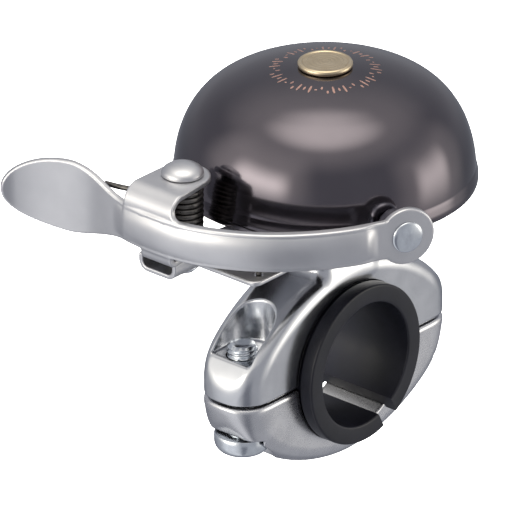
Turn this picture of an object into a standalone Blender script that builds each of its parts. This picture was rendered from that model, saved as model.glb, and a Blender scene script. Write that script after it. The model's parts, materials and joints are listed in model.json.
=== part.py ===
"""A bicycle bell on a split handlebar clamp, struck by a sprung thumb lever.

The origin is the centre of the handlebar bore, straight below the dome's axis. X runs along the
handlebar, -Y points to the thumb lever's side and +Z points up to the dome. Sizes are in metres.
"""

from math import asin, cos, hypot, pi, radians, sin, sqrt

import bmesh
import bpy
from mathutils import Matrix, Vector

MM = 0.001
GAP = 0.3 * MM

# Handlebar side
BORE_R = 15.9 * MM
CLAMP_HALF_X = 7.6 * MM
CLAMP_HALF_Y = 31.3 * MM
CLAMP_TOP_Z = 21.0 * MM
CLAMP_BOTTOM_Z = -20.2 * MM
CLAMP_ARCH_POWERS = (1.8, 0.6)
CLAMP_FILLET = 3.6 * MM
SPLIT_Z = -0.4 * MM
SPLIT_HALF_GAP = 0.35 * MM
SHIM_INNER_R = 12.7 * MM
SHIM_BODY_R = BORE_R - GAP
SHIM_FLANGE_R = 16.35 * MM
SHIM_HALF_X = 10.8 * MM
SHIM_SLIT_WIDTH = 4.2 * MM
SHIM_SLIT_ANGLE = radians(-63)

# Clamp screws
SCREW_Y = 24.2 * MM
SCREW_R = 3.0 * MM
SCREW_TIP_Z = 10.3 * MM
SCREW_HEAD_R = 5.55 * MM
SCREW_HEAD_H = 4.0 * MM
SCREW_HEAD_Z = -8.7 * MM
SCREW_HEX_R = 2.3 * MM
POCKET_FLOOR_Z = 7.8 * MM
POCKET_R = 4.9 * MM
POCKET_LENGTH = 2.1 * MM
TAPPED_BOTTOM_Z = -5.0 * MM
LOBE_UNDERSIDE_Z = SCREW_HEAD_Z + GAP
HEAD_POCKET_R = 6.2 * MM

# Boss and bracket
BOSS_HALF_X = 6.6 * MM
BOSS_HALF_Y = 8.2 * MM
BOSS_CORNER_R = 3.0 * MM
BOSS_ROOT_Z = 17.0 * MM
BOSS_SEAT_R = 4.3 * MM
BOSS_SEAT_Z = 18.6 * MM
BOSS_SCREW_TOP_Z = 37.0 * MM
BOSS_HEAD_R = 3.8 * MM
BOSS_HEAD_H = 2.0 * MM
BOSS_HEX_R = 1.4 * MM
PLATE_Z = 29.6 * MM
SHEET = 1.0 * MM
PLATE_FRONT_Y = -34.8 * MM
PLATE_RIGHT_X = 12.6 * MM
PLATE_LEFT_X = -9.6 * MM
PLATE_BACK_Y = 9.5 * MM
PLATE_BACK_HALF_X = 8.2 * MM
PLATE_TAPER_FROM_Y = -24.0 * MM
PLATE_TAPER_TO_Y = -14.0 * MM
PLATE_CORNER_R = 2.0 * MM
TONGUE_HALF_X = 4.7 * MM
TONGUE_END_Y = -42.8 * MM
TONGUE_START_Y = -27.5 * MM
TONGUE_FOLD_R = 1.0 * MM
TONGUE_TOP_Z = 33.2 * MM
SPRING_HOLE = Vector((10.2, -31.1, 0)) * MM
SPRING_HOLE_R = 0.9 * MM

# Dome
RIM_Z = 37.0 * MM
DOME_R = 29.55 * MM
LIP_R = 29.85 * MM
LIP_H = 3.0 * MM
SHOULDER_H = 22.26 * MM
SHOULDER_POWERS = (3.6, 2.25)
CROWN_FROM_R = 19.5 * MM
SEAT_R = 5.8 * MM
DOME_WALL = 1.2 * MM
DOME_HOLE_R = 2.4 * MM

# Post and its screws
POST_R = 3.4 * MM
POST_FOOT_R = 5.2 * MM
POST_FOOT_H = 2.4 * MM
POST_HEAD_R = 4.0 * MM
POST_SCREW_R = 2.0 * MM
CAP_R = 5.35 * MM
CAP_H = 1.0 * MM
CAP_SHANK = 9.0 * MM
WASHER_HOLE_R = 2.3 * MM
ISOLATOR_R = 5.2 * MM
ISOLATOR_H = 0.8 * MM
LOCK_WASHER_R = 4.4 * MM
LOCK_WASHER_H = 0.8 * MM

# Lever
PIVOT = Vector((-5.4, -35.3, 0)) * MM
LEVER_Z = 40.3 * MM
LEVER_SHEET = 1.5 * MM
BAND_HALF_H = 3.9 * MM
PAD_HALF_H = 7.2 * MM
PAD_TIP_LENGTH = 14.0 * MM
PAD_LENGTH = 31.0 * MM
EYE_R = 5.75 * MM
EYE_HOLE_R = 2.2 * MM
RIB_HALF_H = 3.05 * MM
RIB_RISE = 1.0 * MM
EAR_TOP_Z = 48.3 * MM
EAR_BOTTOM_Z = 33.9 * MM
EAR_SHEET = 1.3 * MM
EAR_END_R = 5.4 * MM
EAR_LEFT_X = -10.7 * MM
EAR_RIGHT_X = 1.2 * MM
EAR_BEND_R = 4.0 * MM
EAR_LOW_BEND_R = 2.2 * MM
EAR_FACE_Y = -46.4 * MM
STRIKER_AZIMUTH = radians(-24.5)
EYE_RADIUS_AT = 36.6 * MM
STRIKER_GAP = 1.0 * MM
STRIKER_NECK_R = 1.9 * MM
STRIKER_RIM_R = 3.1 * MM
STRIKER_END_R = 3.5 * MM

# Pivot stack and spring
PIN_R = 1.6 * MM
PIN_HEAD_R = 3.9 * MM
PIN_HEAD_H = 2.2 * MM
PIN_TAIL_R = 2.4 * MM
PIN_TAIL_H = 0.65 * MM
RIVET_WASHER_R = 3.0 * MM
RIVET_WASHER_H = 0.55 * MM
COLLAR_R = 3.65 * MM
BUSH_OUTER_R = 2.65 * MM
SPRING_R = 3.5 * MM
WIRE_R = 0.55 * MM
SPRING_COILS = 8.5
SPRING_TOP_Z = 45.6 * MM
SPRING_BOTTOM_Z = 36.3 * MM

STEPS_LARGE = 56
STEPS_SMALL = 28


def clear_scene():
    for obj in list(bpy.data.objects):
        bpy.data.objects.remove(obj, do_unlink=True)


def new_collection(name):
    collection = bpy.data.collections.new(name)
    bpy.context.scene.collection.children.link(collection)
    return collection


clear_scene()
PARTS = new_collection("bicycle_bell")
CUTTERS = new_collection("cutters")
CUTTERS.hide_render = True


def material(name, colour, roughness, metallic):
    made = bpy.data.materials.new(name)
    made.use_nodes = True
    shader = made.node_tree.nodes["Principled BSDF"]
    shader.inputs["Base Color"].default_value = (*colour, 1)
    shader.inputs["Roughness"].default_value = roughness
    shader.inputs["Metallic"].default_value = metallic
    made.diffuse_color = (*colour, 1)
    return made


# ---------------------------------------------------------------- building blocks


def add_object(name, mesh, finish=None):
    """Links a mesh as a part, or as a cutter where it has no finish."""
    obj = bpy.data.objects.new(name, mesh)
    if finish is None:
        obj.hide_render = True
        obj.display_type = "WIRE"
        CUTTERS.objects.link(obj)
        return obj
    obj.data.materials.clear()
    obj.data.materials.append(finish)
    PARTS.objects.link(obj)
    return obj


def mesh_from_bmesh(name, bm):
    bmesh.ops.recalc_face_normals(bm, faces=bm.faces)
    mesh = bpy.data.meshes.new(name)
    bm.to_mesh(mesh)
    bm.free()
    return mesh


def evaluated_mesh(obj):
    """The object's mesh with its modifiers applied."""
    bpy.context.view_layer.update()
    graph = bpy.context.evaluated_depsgraph_get()
    return bpy.data.meshes.new_from_object(obj.evaluated_get(graph))


def shade_smooth(obj, angle=35):
    obj.data.shade_smooth()
    obj.data.set_sharp_from_angle(angle=radians(angle))


def turned(name, profile, finish=None, steps=STEPS_SMALL, axis_frame=None):
    """A closed (radius, height) outline, given down its outer side first, turned about local Z."""
    mesh = bpy.data.meshes.new(name)
    points = [(radius, 0, height) for radius, height in profile]
    count = len(points)
    mesh.from_pydata(points, [(i, (i + 1) % count) for i in range(count)], [])
    obj = add_object(name, mesh, finish)
    screw = obj.modifiers.new("turn", "SCREW")
    screw.steps = steps
    screw.render_steps = steps
    screw.use_merge_vertices = True
    screw.merge_threshold = 0.00001
    baked = evaluated_mesh(obj)
    obj.modifiers.clear()
    bm = bmesh.new()
    bm.from_mesh(baked)
    bmesh.ops.remove_doubles(bm, verts=bm.verts, dist=0.000001)
    obj.data = mesh_from_bmesh(name, bm)
    if finish is not None:
        obj.data.materials.append(finish)
    if axis_frame is not None:
        obj.matrix_world = axis_frame
    shade_smooth(obj)
    return obj


def outline_prism(name, points, low, high, finish=None, across="Z"):
    """A flat outline extruded from low to high along Z, or along X for an outline in Y and Z."""
    bm = bmesh.new()
    if across == "Z":
        ring = [bm.verts.new((a, b, low)) for a, b in points]
        step = Vector((0, 0, high - low))
    else:
        ring = [bm.verts.new((low, a, b)) for a, b in points]
        step = Vector((high - low, 0, 0))
    face = bm.faces.new(ring)
    extruded = bmesh.ops.extrude_face_region(bm, geom=[face])
    moved = [part for part in extruded["geom"] if isinstance(part, bmesh.types.BMVert)]
    bmesh.ops.translate(bm, verts=moved, vec=step)
    return add_object(name, mesh_from_bmesh(name, bm), finish)


def arc(centre, radius, start, end, count):
    """Points on an arc, angles in degrees, both ends included."""
    angles = [radians(start + (end - start) * i / count) for i in range(count + 1)]
    return [(centre[0] + radius * cos(a), centre[1] + radius * sin(a)) for a in angles]


def boolean(obj, other, operation="DIFFERENCE"):
    modifier = obj.modifiers.new(other.name, "BOOLEAN")
    modifier.operation = operation
    modifier.object = other
    modifier.solver = "EXACT"


def apply_modifiers(obj):
    baked = evaluated_mesh(obj)
    obj.modifiers.clear()
    obj.data = baked


def cylinder(name, radius, low, high, centre=(0, 0), finish=None, steps=STEPS_SMALL):
    profile = [(0, high), (radius, high), (radius, low), (0, low)]
    obj = turned(name, profile, finish, steps)
    obj.location = (centre[0], centre[1], 0)
    return obj


# ---------------------------------------------------------------- the clamp


def arch_outline(count):
    """An arch of half-width 1 and height 1, a little leaner at its shoulders than an ellipse."""
    across_power, up_power = CLAMP_ARCH_POWERS
    outline = []
    for i in range(count + 1):
        along = cos(pi * i / count)
        y = abs(along) ** (2 / across_power)
        z = (1 - min(y, 1) ** across_power) ** up_power
        outline.append((y if along > 0 else -y, max(z, 0)))
    return outline


def clamp_blank(name, height, base, finish):
    """An arched block, lofted across X so that its side edges are rounded, with round ends in plan."""
    rounding = [radians(90 * i / 4) for i in range(5)]
    side = [(CLAMP_HALF_X - CLAMP_FILLET * (1 - sin(a)), CLAMP_FILLET * (1 - cos(a))) for a in rounding]
    stations = [(-x, inset) for x, inset in reversed(side)] + side
    count = 28
    bm = bmesh.new()
    rings = []
    for x, inset in stations:
        half_y = CLAMP_HALF_Y - inset
        rise = height - base - (inset if height > 0 else -inset)
        rings.append([bm.verts.new((x, half_y * y, base + rise * z)) for y, z in arch_outline(count)])
    for first, second in zip(rings, rings[1:]):
        for i in range(-1, count):
            bm.faces.new((first[i], second[i], second[i + 1], first[i + 1]))
    bm.faces.new(rings[0])
    bm.faces.new(rings[-1])
    blank = add_object(name, mesh_from_bmesh(name, bm), finish)
    straight = CLAMP_HALF_Y - CLAMP_HALF_X
    beside = (CLAMP_HALF_X + MM, straight - MM)
    plan = arc((0, straight), CLAMP_HALF_X, 12, 168, 12) + [(-beside[0], beside[1])]
    plan += [(-beside[0], -beside[1])] + arc((0, -straight), CLAMP_HALF_X, 192, 348, 12)
    plan += [(beside[0], -beside[1]), beside]
    envelope = outline_prism(name + "_envelope", plan, -2 * CLAMP_TOP_Z, 2 * CLAMP_TOP_Z)
    boolean(blank, envelope, "INTERSECT")
    return blank


def bore_cutter():
    frame = Matrix.Rotation(pi / 2, 4, "Y")
    half = 2 * CLAMP_HALF_X
    profile = [(0, half), (BORE_R, half), (BORE_R, -half), (0, -half)]
    return turned("handlebar_bore", profile, None, STEPS_LARGE, frame)


def pocket_cutter(name, radius, low, high, side):
    """A slot over a clamp screw, round at its inner end and open at the clamp's end."""
    inner = SCREW_Y - POCKET_LENGTH
    beyond = CLAMP_HALF_Y + MM
    plan = [(radius, beyond), (-radius, beyond)] + arc((0, inner), radius, 180, 360, 10)
    if side < 0:
        plan = [(x, -y) for x, y in reversed(plan)]
    return outline_prism(name, plan, low, high)


def make_clamp_upper(finish):
    base = SPLIT_Z + SPLIT_HALF_GAP
    clamp = clamp_blank("clamp_upper", CLAMP_TOP_Z, base, finish)
    inner_x, inner_y = BOSS_HALF_X - BOSS_CORNER_R, BOSS_HALF_Y - BOSS_CORNER_R
    plan = []
    for side_x, side_y, start in ((1, 1, 0), (-1, 1, 90), (-1, -1, 180), (1, -1, 270)):
        centre = (side_x * inner_x, side_y * inner_y)
        plan += arc(centre, BOSS_CORNER_R, start, start + 90, 4)
    boss = outline_prism("boss_blank", plan, BOSS_ROOT_Z, PLATE_Z - 0.1 * MM)
    boolean(clamp, boss, "UNION")
    boolean(clamp, bore_cutter())
    for side, label in ((-1, "front"), (1, "rear")):
        pocket = pocket_cutter(f"pocket_{label}", POCKET_R, POCKET_FLOOR_Z, 2 * CLAMP_TOP_Z, side)
        boolean(clamp, pocket)
        centre = (0, side * SCREW_Y)
        top = POCKET_FLOOR_Z + 4 * MM
        boolean(clamp, cylinder(f"tapped_{label}", SCREW_R + GAP, TAPPED_BOTTOM_Z, top, centre))
    boolean(clamp, cylinder("boss_screw_seat", BOSS_SEAT_R, BORE_R - 5 * MM, BOSS_SEAT_Z))
    hole_r = POST_SCREW_R + GAP
    boolean(clamp, cylinder("boss_screw_hole", hole_r, BORE_R - 4 * MM, PLATE_Z + 2 * MM))
    shade_smooth(clamp)
    return clamp


def make_clamp_lower(finish):
    base = SPLIT_Z - SPLIT_HALF_GAP
    clamp = clamp_blank("clamp_lower", CLAMP_BOTTOM_Z, base, finish)
    boolean(clamp, bpy.data.objects["handlebar_bore"])
    for side, label in ((-1, "front"), (1, "rear")):
        wide, beyond = CLAMP_HALF_X + 2 * MM, CLAMP_HALF_Y + 5 * MM
        plan = arc((0, SCREW_Y), HEAD_POCKET_R, 180, 360, 10)
        plan += [(wide, SCREW_Y + MM), (wide, beyond), (-wide, beyond), (-wide, SCREW_Y + MM)]
        if side < 0:
            plan = [(x, -y) for x, y in reversed(plan)]
        below = outline_prism(f"head_pocket_{label}", plan, CLAMP_BOTTOM_Z - 5 * MM, LOBE_UNDERSIDE_Z)
        boolean(clamp, below)
        low, high = LOBE_UNDERSIDE_Z - 4 * MM, SPLIT_Z + 5 * MM
        boolean(clamp, cylinder(f"clearance_{label}", SCREW_R + GAP, low, high, (0, side * SCREW_Y)))
    shade_smooth(clamp)
    return clamp


def hexagon_points(radius, centre_y):
    angles = [radians(60 * i) for i in range(6)]
    return [(radius * cos(a), centre_y + radius * sin(a)) for a in angles]


def make_clamp_screw(name, side, finish):
    """A round-head screw from below, its tip standing in the upper half's pocket."""
    head_bottom = SCREW_HEAD_Z - SCREW_HEAD_H
    round_r = 1.4 * MM
    head = [
        (SCREW_HEAD_R - 0.2 * MM, SCREW_HEAD_Z),
        (SCREW_HEAD_R, SCREW_HEAD_Z - 0.3 * MM),
        (SCREW_HEAD_R, SCREW_HEAD_Z - 1.4 * MM),
    ]
    rounding = arc((SCREW_HEAD_R - round_r, head_bottom + round_r), round_r, 0, -90, 4)
    profile = [(0, SCREW_TIP_Z), (SCREW_R - 0.7 * MM, SCREW_TIP_Z)]
    profile += [(SCREW_R, SCREW_TIP_Z - 0.7 * MM), (SCREW_R, SCREW_HEAD_Z)]
    profile += head + rounding + [(0, head_bottom)]
    screw = turned(name, profile, finish)
    screw.location = (0, side * SCREW_Y, 0)
    hexagon = hexagon_points(SCREW_HEX_R, side * SCREW_Y)
    socket = outline_prism(name + "_socket", hexagon, head_bottom - MM, head_bottom + 2.2 * MM)
    boolean(screw, socket)
    return screw


def make_bar_shim(finish):
    """A flanged split sleeve between the clamp and a thinner handlebar."""
    flange_x = CLAMP_HALF_X + GAP
    edge = 0.9 * MM
    right = [
        (SHIM_INNER_R, SHIM_HALF_X),
        (SHIM_FLANGE_R - edge, SHIM_HALF_X),
        (SHIM_FLANGE_R - 0.25 * edge, SHIM_HALF_X - 0.3 * edge),
        (SHIM_FLANGE_R, SHIM_HALF_X - edge),
        (SHIM_FLANGE_R, flange_x),
        (SHIM_BODY_R, flange_x),
    ]
    left = [(radius, -x) for radius, x in reversed(right)]
    frame = Matrix.Rotation(pi / 2, 4, "Y")
    shim = turned("bar_shim", right + left, finish, STEPS_LARGE, frame)
    half, reach = SHIM_SLIT_WIDTH / 2, 20 * MM
    corners = [(0, -half), (reach, -half), (reach, half), (0, half)]
    turn_cos, turn_sin = cos(SHIM_SLIT_ANGLE), sin(SHIM_SLIT_ANGLE)
    outline = [(a * turn_cos - b * turn_sin, a * turn_sin + b * turn_cos) for a, b in corners]
    slit = outline_prism("shim_slit", outline, -20 * MM, 20 * MM, across="X")
    boolean(shim, slit)
    shade_smooth(shim)
    return shim


# ---------------------------------------------------------------- the bracket and post


def make_base_bracket(finish):
    """A sheet plate on the boss, with an upturned channel tongue that carries the lever's pivot."""
    corner = PLATE_CORNER_R
    back_x = PLATE_BACK_HALF_X
    plan = [(PLATE_LEFT_X, PLATE_FRONT_Y)]
    plan += arc((PLATE_RIGHT_X - corner, PLATE_FRONT_Y + corner), corner, -90, 0, 4)
    plan += [(PLATE_RIGHT_X, PLATE_TAPER_FROM_Y), (back_x, PLATE_TAPER_TO_Y)]
    plan += arc((back_x - corner, PLATE_BACK_Y - corner), corner, 0, 90, 4)
    plan += arc((corner - back_x, PLATE_BACK_Y - corner), corner, 90, 180, 4)
    plan += [(-back_x, PLATE_TAPER_TO_Y), (PLATE_LEFT_X, PLATE_TAPER_FROM_Y)]
    plate = outline_prism("base_bracket", plan, PLATE_Z, PLATE_Z + SHEET, finish)
    fold = TONGUE_FOLD_R
    outer = [(-TONGUE_HALF_X, TONGUE_TOP_Z), (-TONGUE_HALF_X, PLATE_Z + fold)]
    outer += arc((fold - TONGUE_HALF_X, PLATE_Z + fold), fold, 180, 270, 3)
    outer += arc((TONGUE_HALF_X - fold, PLATE_Z + fold), fold, 270, 360, 3)
    outer += [(TONGUE_HALF_X, TONGUE_TOP_Z)]
    inner_x, floor_z = TONGUE_HALF_X - SHEET, PLATE_Z + SHEET
    inner = [(inner_x, TONGUE_TOP_Z), (inner_x, floor_z), (-inner_x, floor_z), (-inner_x, TONGUE_TOP_Z)]
    bm = bmesh.new()
    ring = [bm.verts.new((PIVOT.x + x, TONGUE_END_Y, z)) for x, z in outer + inner]
    face = bm.faces.new(ring)
    extruded = bmesh.ops.extrude_face_region(bm, geom=[face])
    moved = [part for part in extruded["geom"] if isinstance(part, bmesh.types.BMVert)]
    bmesh.ops.translate(bm, verts=moved, vec=Vector((0, TONGUE_START_Y - TONGUE_END_Y, 0)))
    channel = add_object("tongue_channel", mesh_from_bmesh("tongue_channel", bm))
    boolean(plate, channel, "UNION")
    holes = (
        ("boss_hole", POST_SCREW_R + GAP, (0, 0)),
        ("pivot_hole", PIN_R + GAP, PIVOT.xy),
        ("spring_anchor_hole", SPRING_HOLE_R, SPRING_HOLE.xy),
    )
    for label, radius, centre in holes:
        boolean(plate, cylinder(label, radius, PLATE_Z - MM, PLATE_Z + 2 * MM, centre, steps=20))
    shade_smooth(plate, 25)
    return plate


def make_boss_screw(finish):
    """Comes up from the bar bore through the boss and the bracket into the post."""
    top = BOSS_SCREW_TOP_Z
    head_z = BOSS_SEAT_Z - GAP
    head_bottom = head_z - BOSS_HEAD_H
    profile = [(0, top), (POST_SCREW_R - 0.5 * MM, top), (POST_SCREW_R, top - 0.5 * MM)]
    profile += [(POST_SCREW_R, head_z), (BOSS_HEAD_R, head_z), (BOSS_HEAD_R, head_bottom + 0.4 * MM)]
    profile += [(BOSS_HEAD_R - 0.4 * MM, head_bottom), (0, head_bottom)]
    screw = turned("boss_screw", profile, finish)
    hexagon = hexagon_points(BOSS_HEX_R, 0)
    socket_top = head_bottom + 0.6 * BOSS_HEAD_H
    boolean(screw, outline_prism("boss_screw_socket", hexagon, head_bottom - MM, socket_top))
    return screw


def washer(name, inner_r, outer_r, low, height, finish, centre=(0, 0)):
    chamfer = 0.12 * height
    profile = [
        (inner_r, low + height),
        (outer_r - chamfer, low + height),
        (outer_r, low + height - chamfer),
        (outer_r, low + chamfer),
        (outer_r - chamfer, low),
        (inner_r, low),
    ]
    ring = turned(name, profile, finish)
    ring.location = (centre[0], centre[1], 0)
    return ring


def crown_radius_and_centre():
    """The sphere that carries on the shoulder's slope at CROWN_FROM_R."""
    step = 0.01 * MM
    slope = (shoulder_z(CROWN_FROM_R) - shoulder_z(CROWN_FROM_R + step)) / step
    radius = CROWN_FROM_R * sqrt(1 + slope * slope) / slope
    centre_z = shoulder_z(CROWN_FROM_R) - sqrt(radius**2 - CROWN_FROM_R**2)
    return radius, centre_z


def shoulder_z(radius):
    radial, axial = SHOULDER_POWERS
    return SHOULDER_H * (1 - (radius / DOME_R) ** radial) ** (1 / axial)


def crown_z(radius):
    sphere_r, centre_z = crown_radius_and_centre()
    return centre_z + sqrt(sphere_r**2 - max(radius, SEAT_R) ** 2)


def dome_outer_points():
    """(radius, height above the rim) from the crown's hole to the lip."""
    radii = (DOME_HOLE_R, SEAT_R, 9 * MM, 12.5 * MM, 16 * MM)
    crown = [(radius, crown_z(radius)) for radius in radii]
    shoulder = []
    first = asin((CROWN_FROM_R / DOME_R) ** (SHOULDER_POWERS[0] / 2))
    for i in range(11):
        angle = first + (radians(88) - first) * i / 10
        radius = DOME_R * sin(angle) ** (2 / SHOULDER_POWERS[0])
        shoulder.append((radius, shoulder_z(radius)))
    wall = [(DOME_R, LIP_H), (LIP_R, 0.4 * MM), (LIP_R - 0.2 * MM, 0)]
    return crown + [point for point in shoulder if point[1] > LIP_H] + wall


def offset_inwards(points, distance):
    """Each point moved square to the outline's run, away from its outer side."""
    moved = []
    for i, (radius, height) in enumerate(points):
        before = points[max(i - 1, 0)]
        after = points[min(i + 1, len(points) - 1)]
        run_r, run_z = after[0] - before[0], after[1] - before[1]
        length = hypot(run_r, run_z)
        moved.append((radius + run_z / length * distance, height - run_r / length * distance))
    return moved


def make_bell_dome(finish):
    outer = dome_outer_points()
    inner = offset_inwards(outer[:-3], DOME_WALL)
    inner[0] = (DOME_HOLE_R, inner[0][1])
    inner += [(DOME_R - DOME_WALL, LIP_H), (DOME_R - DOME_WALL + 0.2 * MM, 0)]
    profile = [(r, RIM_Z + z) for r, z in outer + inner[::-1]]
    return turned("bell_dome", profile, finish, STEPS_LARGE)


def seat_z():
    return RIM_Z + crown_z(SEAT_R)


def make_dome_screw(finish):
    """A brass cap screw through the dome's crown into the post."""
    low = seat_z() + 0.1 * MM
    top = low + CAP_H
    shank_end = low - CAP_SHANK
    profile = [(0, top + 0.15 * MM), (3 * MM, top + 0.1 * MM), (CAP_R - 0.45 * MM, top)]
    profile += [(CAP_R - 0.1 * MM, top - 0.25 * MM), (CAP_R, low + 0.4 * MM), (CAP_R - 0.2 * MM, low)]
    profile += [(POST_SCREW_R, low), (POST_SCREW_R, shank_end + 0.5 * MM)]
    profile += [(POST_SCREW_R - 0.5 * MM, shank_end), (0, shank_end)]
    return turned("dome_screw", profile, finish, 40)


def make_centre_post(finish):
    """A tapped pillar from the bracket to the dome's crown."""
    low = PLATE_Z + SHEET + LOCK_WASHER_H + 0.2 * MM
    top = seat_z() - DOME_WALL - ISOLATOR_H - 0.2 * MM
    hole = POST_SCREW_R + GAP
    profile = [
        (hole, top),
        (POST_HEAD_R, top),
        (POST_HEAD_R, top - 1.5 * MM),
        (POST_R, top - 2.2 * MM),
        (POST_R, low + POST_FOOT_H + 1.2 * MM),
        (POST_FOOT_R, low + POST_FOOT_H),
        (POST_FOOT_R, low + 0.4 * MM),
        (POST_FOOT_R - 0.4 * MM, low),
        (hole, low),
    ]
    return turned("centre_post", profile, finish)


# ---------------------------------------------------------------- the lever


def eye_centre():
    return Vector((cos(STRIKER_AZIMUTH), sin(STRIKER_AZIMUTH), 0)) * EYE_RADIUS_AT


def lever_path_points():
    """Plan points on the middle of the lever's sheet, from the pad's tip to the eye's far edge."""
    eye = eye_centre()
    along = Vector((-sin(STRIKER_AZIMUTH), cos(STRIKER_AZIMUTH), 0))
    far_edge = eye + along * EYE_R
    bend = [
        (-39.6, -51.8),
        (-36.0, -48.4),
        (-30.0, -45.4),
        (-22.0, -43.9),
        (-14.0, -44.7),
        (-5.0, -45.7),
        (3.5, -45.2),
        (11.0, -42.6),
        (18.3, -38.0),
        (24.3, -32.0),
        (28.7, -25.6),
    ]
    points = [Vector((x, y, 0)) * MM for x, y in bend]
    return points + [eye - along * EYE_R, eye, far_edge]


def smooth_path(points, per_span):
    """A Catmull-Rom curve through the points."""
    padded = [2 * points[0] - points[1]] + points + [2 * points[-1] - points[-2]]
    path = []
    for i in range(len(points) - 1):
        p0, p1, p2, p3 = padded[i : i + 4]
        for j in range(per_span):
            t = j / per_span
            path.append(
                0.5
                * (
                    2 * p1
                    + (p2 - p0) * t
                    + (2 * p0 - 5 * p1 + 4 * p2 - p3) * t * t
                    + (3 * p1 - p0 - 3 * p2 + p3) * t**3
                )
            )
    return path + [points[-1]]


def path_sampler():
    """Returns the path's length and a function giving the place and direction at a distance."""
    path = smooth_path(lever_path_points(), 12)
    runs = [0.0]
    for first, second in zip(path, path[1:]):
        runs.append(runs[-1] + (second - first).length)

    def at(distance):
        distance = min(max(distance, 0), runs[-1])
        i = max(j for j in range(len(runs) - 1) if runs[j] <= distance)
        part = (distance - runs[i]) / (runs[i + 1] - runs[i])
        along = (path[i + 1] - path[i]).normalized()
        return path[i].lerp(path[i + 1], part), along

    return runs[-1], at


def smooth_step(value, low, high):
    t = min(max((value - low) / (high - low), 0), 1)
    return t * t * (3 - 2 * t)


def half_height(distance, length):
    """Half the lever's height at a distance from the pad's tip."""
    height = BAND_HALF_H
    if distance < PAD_LENGTH:
        t = distance / PAD_LENGTH
        pad = PAD_HALF_H * sqrt(max(1 - (1 - 2 * t) ** 2, 0)) if t < 0.5 else PAD_HALF_H
        blend = smooth_step(distance, 0.5 * PAD_LENGTH, PAD_LENGTH)
        height = pad * (1 - blend) + BAND_HALF_H * blend
    eye_at = length - EYE_R
    reach = abs(distance - eye_at)
    if distance > eye_at:
        return sqrt(max(EYE_R**2 - reach**2, 0))
    if reach < EYE_R:
        return max(height, sqrt(EYE_R**2 - reach**2))
    return height


def rib_rise(across, distance, length):
    """How far the rounded rib stands out of the band at a height across it."""
    start = smooth_step(distance, 30 * MM, 34 * MM)
    end = 1 - smooth_step(distance, length - 2 * EYE_R - 4 * MM, length - 2 * EYE_R - 0.5 * MM)
    inside = max(1 - (across / RIB_HALF_H) ** 2, 0)
    return RIB_RISE * sqrt(inside) * start * end


def lever_stations(length):
    """Distances along the lever, closer together at its two round ends."""
    pad, eye = PAD_TIP_LENGTH, EYE_R
    tip = [pad * (1 - cos(pi / 2 * i / 7)) for i in range(7)]
    middle = [pad + (length - 2 * eye - pad) * i / 30 for i in range(30)]
    end = [length - eye - eye * cos(pi * i / 12) for i in range(13)]
    return tip + middle + end


def make_lever_strip():
    """The pad, band and eye: a strip of sheet bent along its plan path, with an embossed rib."""
    length, at = path_sampler()
    rows = [-1, -0.8, -0.72, -0.45, 0, 0.45, 0.72, 0.8, 1]
    bm = bmesh.new()
    columns = []
    for distance in lever_stations(length):
        place, along = at(distance)
        outwards = Vector((along.y, -along.x, 0))
        half = max(half_height(distance, length), 0.02 * MM)
        column = []
        for row in rows:
            across = row * half
            rise = rib_rise(across, distance, length)
            height = Vector((0, 0, LEVER_Z + across))
            column.append(bm.verts.new(place + outwards * rise + height))
        columns.append(column)
    for first, second in zip(columns, columns[1:]):
        for i in range(len(rows) - 1):
            bm.faces.new((first[i], second[i], second[i + 1], first[i + 1]))
    bmesh.ops.remove_doubles(bm, verts=bm.verts, dist=0.03 * MM)
    strip = add_object("lever_strip", mesh_from_bmesh("lever_strip", bm))
    solidify = strip.modifiers.new("sheet", "SOLIDIFY")
    solidify.thickness = LEVER_SHEET
    solidify.offset = 0
    apply_modifiers(strip)
    return strip


def ear_plan():
    """The ears' outline seen from above, running out past the band's bend."""
    front_y = EAR_FACE_Y - 4 * MM
    end = arc(PIVOT.xy, EAR_END_R, 0, 180, 12)
    return [(EAR_LEFT_X, front_y), (EAR_RIGHT_X + 0.4 * MM, front_y)] + end


def make_ear_channel():
    """A C-shaped fold: upper ear, a rounded bend to the band's face, and the lower ear."""
    inner_y = PIVOT.y + 2 * EAR_END_R
    inner_r = EAR_BEND_R - EAR_SHEET
    top_centre = (EAR_FACE_Y + EAR_BEND_R, EAR_TOP_Z - EAR_BEND_R)
    low_r = EAR_LOW_BEND_R
    low_centre = (EAR_FACE_Y + low_r, EAR_BOTTOM_Z + low_r)
    low_inner_r = low_r - EAR_SHEET
    outer = [(inner_y, EAR_TOP_Z)] + arc(top_centre, EAR_BEND_R, 90, 180, 6)
    outer += arc(low_centre, low_r, 180, 270, 4) + [(inner_y, EAR_BOTTOM_Z)]
    inner = [(inner_y, EAR_BOTTOM_Z + EAR_SHEET)] + arc(low_centre, low_inner_r, 270, 180, 3)
    inner += arc(top_centre, inner_r, 180, 90, 5) + [(inner_y, EAR_TOP_Z - EAR_SHEET)]
    channel = outline_prism("ear_channel", outer + inner, -20 * MM, 20 * MM, across="X")
    outline = outline_prism("ear_outline", ear_plan(), 20 * MM, 60 * MM)
    boolean(channel, outline, "INTERSECT")
    apply_modifiers(channel)
    return channel


def make_striker_lever(finish):
    strip = make_lever_strip()
    lever = add_object("striker_lever", strip.data.copy(), finish)
    boolean(lever, make_ear_channel(), "UNION")
    boolean(lever, cylinder("ear_holes", BUSH_OUTER_R + 0.05 * MM, 30 * MM, 55 * MM, PIVOT.xy))
    frame = striker_frame()
    reach = 5 * MM
    eye_hole = [(0, reach), (EYE_HOLE_R, reach), (EYE_HOLE_R, -reach), (0, -reach)]
    boolean(lever, turned("eye_hole", eye_hole, None, 20, frame))
    apply_modifiers(lever)
    shade_smooth(lever, 40)
    lever.data.transform(Matrix.Translation(-PIVOT))
    lever.location = PIVOT
    return lever


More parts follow.
